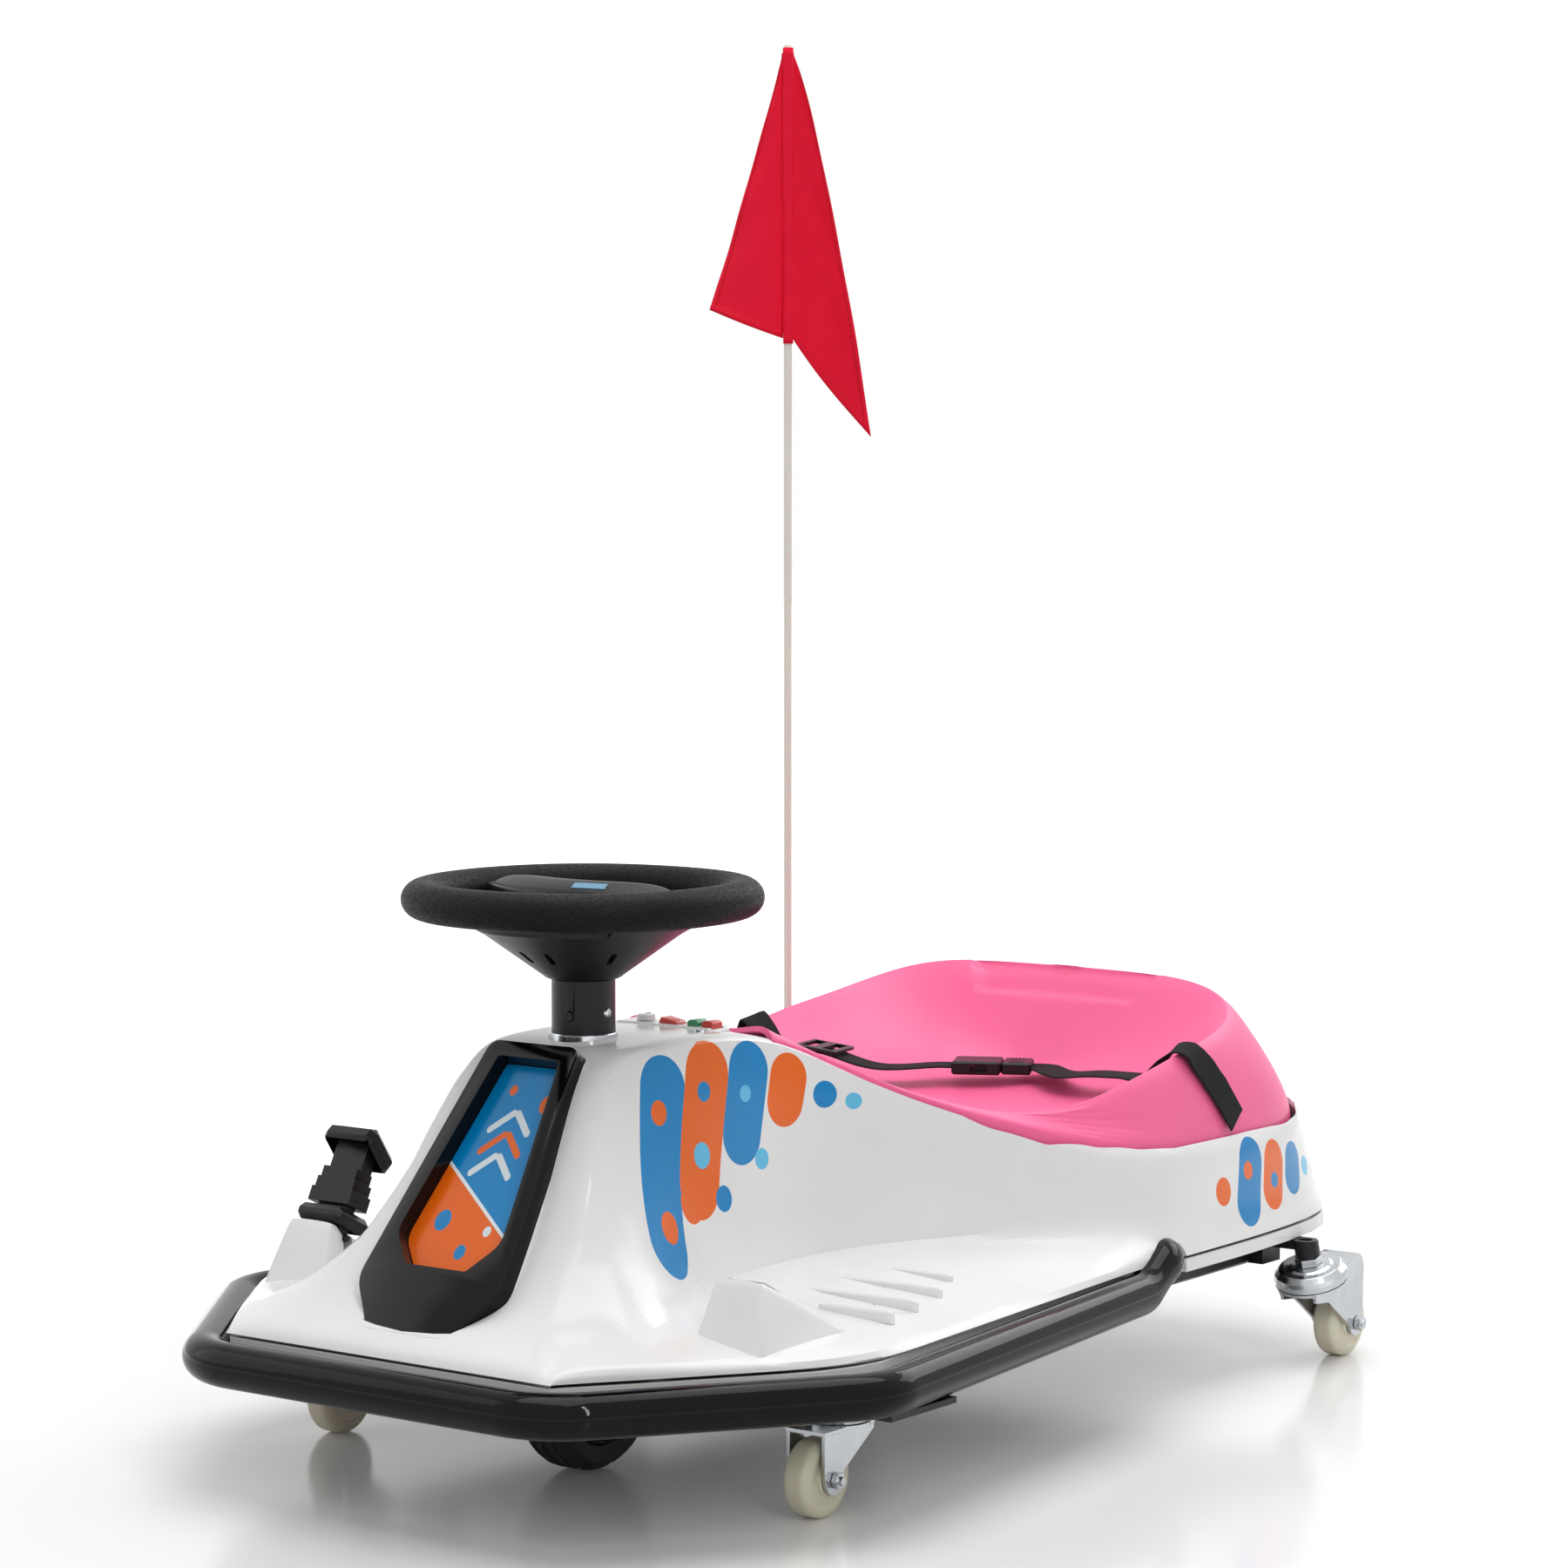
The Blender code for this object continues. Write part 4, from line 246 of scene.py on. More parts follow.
def printed_bar(net, given):
    """Mask of a round-ended bar, or of a dot where it has no length, on Spot's X and Y."""
    away = net.parts(net.vector("SUBTRACT", given["Spot"], given["Middle"]))
    cosine, sine = (net.math(kind, given["Turn"]) for kind in ("COSINE", "SINE"))
    along = net.plus(net.times(away["X"], cosine), net.times(away["Y"], sine))
    across = net.math("SUBTRACT", net.times(away["Y"], cosine), net.times(away["X"], sine))
    beyond = net.math("SUBTRACT", net.math("ABSOLUTE", along), given["Half"])
    square = net.math("POWER", net.math("MAXIMUM", beyond, 0.0), 2.0)
    reach = net.math("SQRT", net.plus(square, net.times(across, across)))
    edge = net.math("SUBTRACT", reach, given["Radius"])
    return {"Mask": net.span(edge, -INK_EDGE, INK_EDGE, 1.0, 0.0, "LINEAR")}


INK_EDGE = 0.00015
SOCKETS = {1: "NodeSocketFloat", 3: "NodeSocketVector", 4: "NodeSocketColor"}
SURFACE = ("Colour", "Roughness", "Height")
# Each effect's outputs, and its inputs with their defaults
EFFECTS = {
    moulded_surface: (
        SURFACE,
        {"Colour": (0.8, 0.8, 0.8, 1), "Roughness": 0.3, "Grain": 900.0, "Marks": 0.12},
    ),
    leather_grain: (SURFACE, {"Colour": (0.02, 0.02, 0.022, 1), "Pebbles": 620.0}),
    woven_threads: (
        SURFACE,
        {"Colour": (0.5, 0.0, 0.0, 1), "Thread": 0.001, "Ratio": 1.0, "Contrast": 0.3},
    ),
    metal_bloom: (SURFACE, {"Colour": (0.6, 0.6, 0.6, 1), "Roughness": 0.22}),
    settled_dust: (SURFACE[:2], {"Colour": (0.1, 0.1, 0.1, 1), "Roughness": 0.4, "Amount": 0.15}),
    printed_bar: (
        ("Mask",),
        {"Spot": (0, 0, 0), "Middle": (0, 0, 0), "Turn": 0.0, "Half": 0.01, "Radius": 0.005},
    ),
}


def effect(build):
    """The effect's node group, shared by all materials and made at its first use."""
    name = build.__name__.replace("_", " ").capitalize()
    if name in bpy.data.node_groups:
        return bpy.data.node_groups[name]
    outputs, inputs = EFFECTS[build]
    tree = bpy.data.node_groups.new(name, "ShaderNodeTree")
    for title, value in inputs.items():
        kind = SOCKETS[len(value) if isinstance(value, tuple) else 1]
        tree.interface.new_socket(title, in_out="INPUT", socket_type=kind).default_value = value
    for title in outputs:
        kind = SOCKETS[4 if title == "Colour" else 1]
        tree.interface.new_socket(title, in_out="OUTPUT", socket_type=kind)
    net = Net(tree)
    net.add("NodeGroupOutput", build(net, net.add("NodeGroupInput").outputs))
    return tree


# Prints, with places from the steering column's Y on the flanks and from the panel's middle

SIDE_LEAN = 74
SIDE_BARS = (
    (-0.012, 0.206, 0.047, 0.0225, "blue"),
    (0.037, 0.222, 0.036, 0.0215, "orange"),
    (0.083, 0.234, 0.021, 0.0195, "blue"),
    (0.124, 0.238, 0.008, 0.0165, "orange"),
    (0.488, 0.142, 0.015, 0.0165, "blue"),
    (0.525, 0.142, 0.010, 0.0150, "orange"),
    (0.559, 0.142, 0.006, 0.0130, "blue"),
)
SIDE_DOTS = (
    (0.156, 0.232, 0.0090, "blue"),
    (0.176, 0.226, 0.0055, "pale"),
    (0.016, 0.178, 0.0130, "orange"),
    (0.052, 0.176, 0.0085, "blue"),
    (0.096, 0.196, 0.0070, "pale"),
    (-0.018, 0.168, 0.0100, "orange"),
    (-0.006, 0.238, 0.0080, "orange"),
    (0.042, 0.246, 0.0065, "blue"),
    (0.034, 0.206, 0.0085, "pale"),
    (0.084, 0.240, 0.0055, "pale"),
    (0.450, 0.140, 0.0100, "orange"),
    (0.584, 0.140, 0.0070, "pale"),
    (0.487, 0.150, 0.0065, "orange"),
    (0.526, 0.138, 0.0055, "blue"),
)
NOSE_HALF = 0.0585  # the flank's print stops this far from the car's middle
PANEL_Z = 0.206
PANEL_SLOPE, PANEL_SPLIT = 0.55, -0.017
ARROWS = ((0.003, "pale"), (0.0155, "orange"), (0.028, "pale"))
PANEL_DOTS = (
    (0.021, 0.040, 0.0055, "orange"),
    (-0.020, -0.030, 0.0060, "blue"),
    (0.004, -0.046, 0.0042, "blue"),
    (0.018, -0.033, 0.0030, "pale"),
    (-0.010, 0.046, 0.0030, "orange"),
)


def printed(net, base, spot, pale, bars, dots):
    """Bars (x, y, degrees, half length, radius, ink), then dots (x, y, radius, ink), over base."""
    kit = bpy.context.scene.drift_car_colours
    inks = {"blue": kit.blue, "orange": kit.orange, "pale": pale}
    for x, y, turn, half, radius, ink in [*bars, *((x, y, 0, 0.0, r, ink) for x, y, r, ink in dots)]:
        values = {"Spot": spot, "Middle": (x, y, 0), "Turn": math.radians(turn)}
        values.update(Half=half, Radius=radius)
        bar = net.add("ShaderNodeGroup", values, node_tree=effect(printed_bar))
        base = net.mix(bar.outputs["Mask"], base, (*inks[ink], 1))
    return base


def side_print(net, base):
    """Slanted bars and dots on both flanks, and a smaller row on the hips."""
    at = net.parts(net.place())
    along = net.math("SUBTRACT", at["Y"], STEER_Y)
    spot = net.add("ShaderNodeCombineXYZ", {"X": along, "Y": at["Z"]}).outputs[0]
    side = net.math("GREATER_THAN", net.math("ABSOLUTE", at["X"]), NOSE_HALF)
    bars = [(x, y, SIDE_LEAN, half, radius, ink) for x, y, half, radius, ink in SIDE_BARS]
    return net.mix(side, base, printed(net, base, spot, (0.12, 0.52, 0.80), bars, SIDE_DOTS))


def panel_print(net, base):
    """The nose panel: a blue field over an orange one, three arrow strokes and a few dots."""
    kit = bpy.context.scene.drift_car_colours
    at = net.parts(net.place())
    up = net.math("SUBTRACT", at["Z"], PANEL_Z)
    spot = net.add("ShaderNodeCombineXYZ", {"X": at["X"], "Y": up}).outputs[0]
    split = net.math("SUBTRACT", net.plus(up, net.times(at["X"], PANEL_SLOPE)), PANEL_SPLIT)
    lower = net.span(split, -0.0002, 0.0002, 1.0, 0.0, "LINEAR")
    line = net.math("LESS_THAN", net.math("ABSOLUTE", split), 0.0011)
    field = net.mix(lower, (*kit.blue, 1), (*kit.orange, 1))
    field = net.mix(line, field, (0.80, 0.84, 0.86, 1))
    strokes = [
        (side * 0.0085, high, -side * 38, 0.0085, 0.0021, ink) for high, ink in ARROWS for side in (-1, 1)
    ]
    return printed(net, field, spot, (0.72, 0.80, 0.84), strokes, PANEL_DOTS)


# Finishes


def finish(name, build, **plain):
    """A material whose Principled shader gets plain values here and its links from build."""
    if name in bpy.data.materials:
        return bpy.data.materials[name]
    made = bpy.data.materials.new(name)
    made.use_nodes = True
    shader = made.node_tree.nodes["Principled BSDF"]
    for title, value in plain.items():
        shader.inputs[title.replace("_", " ")].default_value = value
    net = Net(made.node_tree)
    feeds = build(net)
    if "Height" in feeds:
        height, depth = feeds.pop("Height")
        bump = net.add("ShaderNodeBump", {"Height": height, "Distance": depth, "Strength": 1.0})
        feeds["Normal"] = bump.outputs[0]
    for title, value in feeds.items():
        net.feed(shader.inputs[title], value)
    return made


def layered(name, layer, inputs, depth, noise=None, **plain):
    """A finish from one effect. Inputs may be functions of the net, and noise may give the height."""

    def build(net):
        given = {title: value(net) if callable(value) else value for title, value in inputs.items()}
        out = net.add("ShaderNodeGroup", given, node_tree=effect(layer)).outputs
        height = net.noise(net.place(), *noise) if noise else out["Height"]
        return {"Base Color": out["Colour"], "Roughness": out["Roughness"], "Height": (height, depth)}

    return finish(name, build, **plain)


def moulding(name, tint, rough, grain=900.0, depth=0.00004, marks=0.12, art=None, **plain):
    base = (*tint, 1)
    inputs = {"Colour": (lambda net: art(net, base)) if art else base}
    inputs.update(Roughness=rough, Grain=grain, Marks=marks)
    return layered(name, moulded_surface, inputs, depth, **plain)


def coated(name, tint, rough, dust, **plain):
    """Paint or powder coat with orange peel and a little dust."""

    def uneven(net):
        return net.span(net.noise(net.place(), 30.0, 2.0), 0.3, 0.7, rough * 0.8, rough * 1.25)

    inputs = {"Colour": (*tint, 1), "Roughness": uneven, "Amount": dust}
    return layered(name, settled_dust, inputs, 0.00006, (260.0, 2.0), **plain)


def plated(name, tint, rough, depth):
    inputs = {"Colour": (*tint, 1), "Roughness": rough}
    return layered(name, metal_bloom, inputs, depth, Metallic=1.0)


def woven(name, tint, thread, ratio, contrast, depth, **plain):
    inputs = {"Colour": (*tint, 1), "Thread": thread, "Ratio": ratio, "Contrast": contrast}
    return layered(name, woven_threads, inputs, depth, **plain)


def finishes(context):
    """All finishes by the record's material slot, with the scene's own label and hem thread."""
    kit, sizes = context.scene.drift_car_colours, context.scene.drift_car_sizes
    dull = {"Specular_IOR_Level": 0.2}
    rim = {"Colour": (0.009, 0.009, 0.0095, 1)}
    tyre = {"Colour": (0.018, 0.018, 0.019, 1), "Roughness": 0.72, "Amount": 0.35}
    return {
        "white_body": moulding("Glossy white moulding", kit.body, 0.10, marks=0.06, art=side_print, IOR=1.33),
        "pink_seat": moulding("Pink seat moulding", kit.seat, 0.40, 1300.0, 0.00007, 0.08),
        "black_gloss": moulding("Gloss black bezel", (0.003, 0.003, 0.0035), 0.05, marks=0.05, IOR=1.28),
        "insert": moulding("Printed nose panel", kit.black, 0.16, art=panel_print, IOR=1.30),
        "tube_paint": coated("Bumper powder coat", (0.002, 0.002, 0.0025), 0.05, 0.005, IOR=1.25),
        "frame_paint": coated("Frame paint", (0.007, 0.007, 0.008), 0.33, 0.2, Specular_IOR_Level=0.3),
        "zinc": plated("Zinc plate", kit.zinc, 0.14, 0.000003),
        "nylon": moulding("Caster nylon", kit.nylon, 0.38, 700.0, Subsurface_Weight=0.15),
        "black_matte": moulding("Black moulding", kit.black, 0.34, 1500.0, 0.00008, Specular_IOR_Level=0.25),
        "grain_rim": layered("Grained wheel rim", leather_grain, rim, 0.00012, Specular_IOR_Level=0.12),
        "black_case": moulding("Black case", (0.02, 0.02, 0.022), 0.5, 1100.0, 0.0001),
        "green_button": moulding("Green button", (0.01, 0.26, 0.10), 0.22, Coat_Weight=0.3),
        "red_button": moulding("Red button", (0.62, 0.02, 0.012), 0.22, Coat_Weight=0.3),
        "fibreglass": moulding("Flag rod resin", (0.78, 0.77, 0.70), 0.30, 400.0, Subsurface_Weight=0.25),
        "red_cloth": woven("Pennant cloth", kit.flag, sizes.thread, 1.0, 0.25, 0.0001, **dull),
        "webbing": woven("Belt webbing", (0.007, 0.007, 0.0075), sizes.weave, 2.0, 0.75, 0.0005, **dull),
        "alloy": plated("Cast alloy", (0.50, 0.51, 0.52), 0.36, 0.00004),
        "tyre_rubber": layered("Drive tyre rubber", settled_dust, tyre, 0.0002, (1400.0, 4.0, 0.7)),
        "stitching": woven("Hem thread", (0.62, 0.02, 0.03), 0.0006, 1.0, 0.4, 0.0001),
        "label": moulding("Pale blue label", (0.12, 0.30, 0.46), 0.22, Coat_Weight=0.4),
    }


# Making pieces


def placed(name, data):
    """A new object in the scene."""
    piece = bpy.data.objects.new(name, data)
    bpy.context.scene.collection.objects.link(piece)
    return piece


def link(name, mesh, body, skin, replaces=()):
    """A mesh piece that rides on a body, with its finish."""
    piece = placed(name, mesh)
    if not mesh.materials:
        mesh.materials.append(skin)
    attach(piece, body)
    if replaces:
        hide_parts(*replaces)
    return piece


def to_mesh(name, shape):
    mesh = bpy.data.meshes.new(name)
    shape.to_mesh(mesh)
    shape.free()
    return mesh


def mesh_from(name, build):
    shape = bmesh.new()
    build(shape)
    bmesh.ops.recalc_face_normals(shape, faces=shape.faces)
    return to_mesh(name, shape)


def shade(mesh, angle):
    """Smooth shading that breaks at edges sharper than angle."""
    mesh.shade_smooth()
    mesh.set_sharp_from_angle(angle=math.radians(angle))
    return mesh


def welded(node, quads=False):
    """The CAD node's facets welded, with flat faces merged or, for free forms, paired to quads."""
    shape = bmesh.new()
    shape.from_mesh(frame["nodes"][node].data)
    bmesh.ops.remove_doubles(shape, verts=shape.verts, dist=0.00001)
    flat = math.radians(0.6)
    bmesh.ops.dissolve_limit(shape, angle_limit=flat, verts=shape.verts, edges=shape.edges)
    if quads:
        bmesh.ops.join_triangles(
            shape,
            faces=[f for f in shape.faces if len(f.verts) == 3],
            angle_face_threshold=math.radians(30),
            angle_shape_threshold=math.radians(60),
        )
    return shape


def applied(piece, angle):
    """The piece with its modifiers turned into mesh."""
    bpy.context.view_layer.update()
    mesh = bpy.data.meshes.new_from_object(piece.evaluated_get(bpy.context.evaluated_depsgraph_get()))
    piece.modifiers.clear()
    piece.data = shade(mesh, angle)
    return piece


def circle(count):
    """That many angles once round."""
    return [2 * math.pi * i / count for i in range(count)]


def even(low, high, count):
    """Values from low to high in count equal steps."""
    return [low + (high - low) * i / count for i in range(count + 1)]


def arc(radius, start, end, steps, x=0.0):
    """Points on an arc round (x, 0), from one angle to another in degrees."""
    angles = [math.radians(turn) for turn in even(start, end, steps)]
    return [(x + radius * math.cos(t), radius * math.sin(t)) for t in angles]


def grid_faces(shape, rows, around=False, ends=False):
    """Faces between rows of corners, closed round each row if asked."""
    for a, b in zip(rows, rows[1:]):
        for i in range(len(a) if around else len(a) - 1):
            k = (i + 1) % len(a)
            shape.faces.new((a[i], a[k], b[k], b[i]))
    if ends:
        shape.faces.new(rows[0])
        shape.faces.new(rows[-1])


def cloth_grid(shape, rows, **closed):
    """Faces between rows of (place, place on the flat cloth), which their UV keeps."""
    uv = shape.loops.layers.uv.get("cloth") or shape.loops.layers.uv.new("cloth")
    corners = [[shape.verts.new(spot) for spot, _ in row] for row in rows]
    flat = {corner: at for line, row in zip(corners, rows) for corner, (_, at) in zip(line, row)}
    count = len(shape.faces)
    grid_faces(shape, corners, **closed)
    shape.faces.ensure_lookup_table()
    for face in shape.faces[count:]:
        face.smooth = True
        for corner in face.loops:
            corner[uv].uv = flat[corner.vert]


def thicken(piece, thickness):
    layer = piece.modifiers.new("cloth", "SOLIDIFY")
    layer.thickness = thickness
    layer.offset = 0


def turned(shape, profile, steps, place=Matrix.Identity(4), closed=True):
    """A turned form round Z from (radius, height) points, then moved by place."""
    rings = []
    for radius, height in profile:
        if radius == 0:
            rings.append([shape.verts.new(place @ Vector((0, 0, height)))] * steps)
            continue
        spots = (Vector((radius * math.cos(t), radius * math.sin(t), height)) for t in circle(steps))
        rings.append([shape.verts.new(place @ spot) for spot in spots])
    pairs = list(zip(rings, rings[1:]))
    if closed:
        pairs.append((rings[-1], rings[0]))
    for a, b in pairs:
        for i in range(steps):
            k = (i + 1) % steps
            corners = list(dict.fromkeys((a[i], a[k], b[k], b[i])))
            if len(corners) > 2:
                shape.faces.new(corners)


def block(shape, size, place):
    """A box of that size, its middle moved by place."""
    made = bmesh.ops.create_cube(shape, size=1.0, matrix=place @ Matrix.Diagonal((*size, 1)))
    return made["verts"]


def prism(shape, outline, low, high, place=Matrix.Identity(4)):
    """An outline in X and Y carried from low to high, then moved by place."""
    rows = [[shape.verts.new(place @ Vector((x, y, z))) for x, y in outline] for z in (low, high)]
    grid_faces(shape, rows, around=True, ends=True)


def spin(axis, degrees):
    return Matrix.Rotation(math.radians(degrees), 4, axis)


def axes(x, y, z):
    """The turn that takes X, Y and Z to these directions."""
    return Matrix((x, y, z)).transposed().to_4x4()


def facing(spot, normal):
    """A matrix at spot whose Z looks along normal."""
    return Matrix.Translation(spot) @ normal.to_track_quat("Z", "Y").to_matrix().to_4x4()


def skin_of(piece):
    """The piece's finished surface, for lines to be cast at."""
    bpy.context.view_layer.update()
    return BVHTree.FromObject(piece, bpy.context.evaluated_depsgraph_get())


def onto(surface, start, towards):
    """Where a line from start meets the surface, with the surface's direction there."""
    hit, normal, _, _ = surface.ray_cast(Vector(start), (Vector(towards) - Vector(start)).normalized())
    if hit is None:
        raise RuntimeError(f"no surface towards {towards}")
    return hit, normal


def cutter(build, *options):
    """A shape that only cuts others."""
    return placed("cutter", mesh_from("cutter", lambda shape: build(shape, *options)))


def carved(piece, tools, angle):
    """The piece with the tools' shapes cut away."""
    for tool in tools:
        cut = piece.modifiers.new("cut", "BOOLEAN")
        cut.operation = "DIFFERENCE"
        cut.solver = "EXACT"
        cut.object = tool
    applied(piece, angle)
    for tool in tools:
        bpy.data.objects.remove(tool, do_unlink=True)


def smooth_line(points, count):
    """A smooth line through points of any size of vector, with count steps between each two."""
    line = [points[0] * 2 - points[1], *points, points[-1] * 2 - points[-2]]
    found = []
    for a, b, c, d in zip(line, line[1:], line[2:], line[3:]):
        bend, twist = a * 2 - b * 5 + c * 4 - d, b * 3 - a - c * 3 + d
        for i in range(count):
            t = i / count
            found.append((b * 2 + (c - a) * t + bend * t**2 + twist * t**3) * 0.5)
    return [*found, line[-2]]


def heading(line, i):
    """The direction of a line of points at its point i."""
    return (line[min(i + 1, len(line) - 1)] - line[max(i - 1, 0)]).normalized()


def eased(share):
    """The share kept from 0 to 1, with a soft start and end."""
    share = min(max(share, 0.0), 1.0)
    return share * share * (3 - 2 * share)


# Operators


class Piece(bpy.types.Operator):
    """Common to all the operators: it hands the finishes to the subclass's own work."""

    bl_options = {"REGISTER", "UNDO"}

    SHARP, CREASE = 32, 40  # degrees between faces from which an edge is rounded or kept

    def execute(self, context):
        self.skins = finishes(context)
        self.sizes = context.scene.drift_car_sizes
        self.work(context)
        return {"FINISHED"}

    def stands_in(self, node, mesh):
        """A mesh in place of a CAD node."""
        slot = NODE_SLOT[node]
        return link(mesh.name, mesh, NODE_BODY[node], self.skins[slot], [node])

    def crisp(self, *nodes, bevel=None):
        """Pieces with flat or turned faces: their edges get a fine rounding."""
        for node in nodes:
            piece = self.stands_in(node, shade(to_mesh(node + "_form", welded(node)), self.SHARP))
            edge = piece.modifiers.new("edge", "BEVEL")
            edge.width = bevel or self.sizes.edge
            edge.segments = 2
            edge.limit_method = "ANGLE"
            edge.angle_limit = math.radians(self.SHARP)
            edge.harden_normals = True
            edge.use_clamp_overlap = True

    def soft(self, node, levels=2):
        """A free form: its facets are smoothed and its sharp edges kept."""
        shape = welded(node, quads=True)
        crease = shape.edges.layers.float.new("crease_edge")
        for edge in shape.edges:
            if len(edge.link_faces) == 2 and edge.calc_face_angle(0) > math.radians(self.CREASE):
                edge[crease] = 1.0
        piece = self.stands_in(node, to_mesh(node + "_form", shape))
        soft = piece.modifiers.new("soft", "SUBSURF")
        soft.levels = soft.render_levels = levels
        return piece

    def rebuilt(self, node, build, angle=None, name=None):
        """A form of the scene's own in place of a CAD node, smooth up to angle."""
        mesh = mesh_from(name or node + "_form", build)
        return self.stands_in(node, shade(mesh, angle) if angle else mesh)

    def extra(self, name, body, skin, build, angle=None):
        """A small piece that the CAD doesn't have."""
        mesh = mesh_from(name, build)
        return link(name, shade(mesh, angle) if angle else mesh, body, self.skins[skin])


class DRIFT_OT_body(Piece):
    """The moulded shell, its pan and the plug of the left foot block"""

    bl_idname = "drift.body"
    bl_label = "Body shell and pan"

    def work(self, context):
        self.soft("body_shell")
        self.crisp("underbody_pan", bevel=0.0008)
        self.crisp("foot_block_plug")


class DRIFT_OT_seat(Piece):
    """The moulded bucket seat, with the shallow recess in its back"""

    bl_idname = "drift.seat"
    bl_label = "Seat"

    BACK_Y = 0.31
    FOOT, HEAD = 0.2515, 0.2762  # the heights where the recess starts and has faded out
    HALF, FLARE = 0.068, 0.7  # half its width at the foot, and how it widens upward
    EDGE, FADE = 0.0028, 0.006
    SUNK = Vector((0, 0.75, -0.55)) * 0.0036

    def work(self, context):
        seat = applied(self.soft("seat_shell", levels=3), 60)
        front = [vertex.normal.y < -0.1 for vertex in seat.data.vertices]
        for vertex, looks_ahead in zip(seat.data.vertices, front):
            x, y, z = vertex.co
            up = z - self.FOOT
            if looks_ahead and y >= self.BACK_Y and up > 0:
                inside = min(self.HALF + self.FLARE * up - abs(x), up)
                vertex.co += self.SUNK * eased(min(inside / self.EDGE, (self.HEAD - z) / self.FADE))


class DRIFT_OT_nose(Piece):
    """The gloss bezel on the nose and its printed panel"""

    bl_idname = "drift.nose"
    bl_label = "Nose bezel and panel"

    def work(self, context):
        self.crisp("nose_bezel", bevel=0.0022)
        self.crisp("nose_panel")


class DRIFT_OT_steering(Piece):
    """The steering wheel, its hub and cover, the column's sleeve, ring and shaft"""

    bl_idname = "drift.steering"
    bl_label = "Steering"

    AXIS = Matrix.Translation((0, STEER_Y, 0))
    HIGH = 0.371
    REACH = 0.1005
    SQUARE = 2.18  # 2 would make the rim round
    SECTION = (0.0135, 0.0125)
    HUB = (
        *((0.0083, 0.347), (0.0175, 0.347), (0.0190, 0.3462), (0.0222, 0.3255), (0.0232, 0.3248)),
        *((0.0616, 0.3512), (0.0885, 0.367), (0.0885, 0.362), (0.0640, 0.3483), (0.0262, 0.3213)),
        *((0.0250, 0.3203), (0.0230, 0.3193), (0.0083, 0.3193)),
    )
    SLOTS = (-78, -28, 28, 78, 102, 152, 208, 258)
    # The bar's section, in shares of its width and height
    BAR = (
        *((0, 0), (0.02, 0.16), (0.10, 0.34), (0.30, 0.66), (0.50, 0.92)),
        *((0.62, 1.0), (0.80, 0.96), (0.93, 0.7), (1, 0)),
    )
    BAR_HALF, BAR_Z = 0.0765, 0.3757

    def rim(self, shape):
        centre = Vector((0, STEER_Y, self.HIGH))
        rows = []
        for turn in circle(144):
            c, s = math.cos(turn), math.sin(turn)
            reach = self.REACH / (abs(c) ** self.SQUARE + abs(s) ** self.SQUARE) ** (1 / self.SQUARE)
            row = []
            for t in circle(28):
                out, up = reach + math.cos(t) * self.SECTION[0], math.sin(t) * self.SECTION[1]
                row.append(shape.verts.new(centre + Vector((c * out, s * out, up))))
            rows.append(row)
        grid_faces(shape, [*rows, rows[0]], around=True)

    def gap(self, shape, turn):
        """An opening between the hub's spokes."""
        outline = arc(0.070, turn - 52, turn + 52, 24) + arc(0.0845, turn + 54, turn - 54, 24)
        prism(shape, [(x, y + STEER_Y) for x, y in outline], 0.33, 0.40)

    def slot(self, shape, turn):
        """A radial slot in the hub's cone."""
        place = self.AXIS @ spin("Z", turn) @ Matrix.Translation((0.0455, 0, 0.3365)) @ spin("Y", -35)
        outline = arc(0.0021, -90, 90, 8, 0.0048) + arc(0.0021, 90, 270, 8, -0.0048)
        prism(shape, outline, -0.003, 0.003, place)

    def bar(self, shape):
        """The crescent bar across the middle of the wheel, its front face sloping."""
        rows = []
        for x in even(-self.BAR_HALF, self.BAR_HALF, 48):
            taper = abs(x) / 0.0775
            front = STEER_Y - 0.0265 + 0.026 * (x / 0.0755) ** 2
            wide, high = 0.0235 * (1 - taper**4), 0.0078 * (1 - taper**6)
            row = [(x, front + wide * u, self.BAR_Z + high * v) for u, v in self.BAR]
            rows.append([shape.verts.new(spot) for spot in row])
        grid_faces(shape, rows, around=True, ends=True)

    def work(self, context):
        self.rebuilt("steering_wheel_rim", self.rim, 80)
        hub = self.rebuilt("steering_hub", lambda shape: turned(shape, self.HUB, 128, self.AXIS))
        tools = [cutter(self.gap, turn) for turn in (-90, 90)]
        carved(hub, tools + [cutter(self.slot, turn) for turn in self.SLOTS], 32)
        self.crisp("hub_cover", "column_sleeve", "column_ring", "steering_shaft")
        pad = self.extra("hub_pad", "steering_column", "black_matte", self.bar, 50)
        seen, middle = (0.020, STEER_Y - 0.20, 0.45), (0.020, STEER_Y - 0.0175, 0.3805)
        place = facing(*onto(skin_of(pad), seen, middle))

        def label(shape):
            corners = block(shape, (0.024, 0.0058, 0.0008), place)
            edges = {edge for corner in corners for edge in corner.link_edges}
            bmesh.ops.bevel(shape, geom=list(edges), offset=0.0002, segments=1)

        self.extra("hub_pad_label", "steering_column", "label", label)


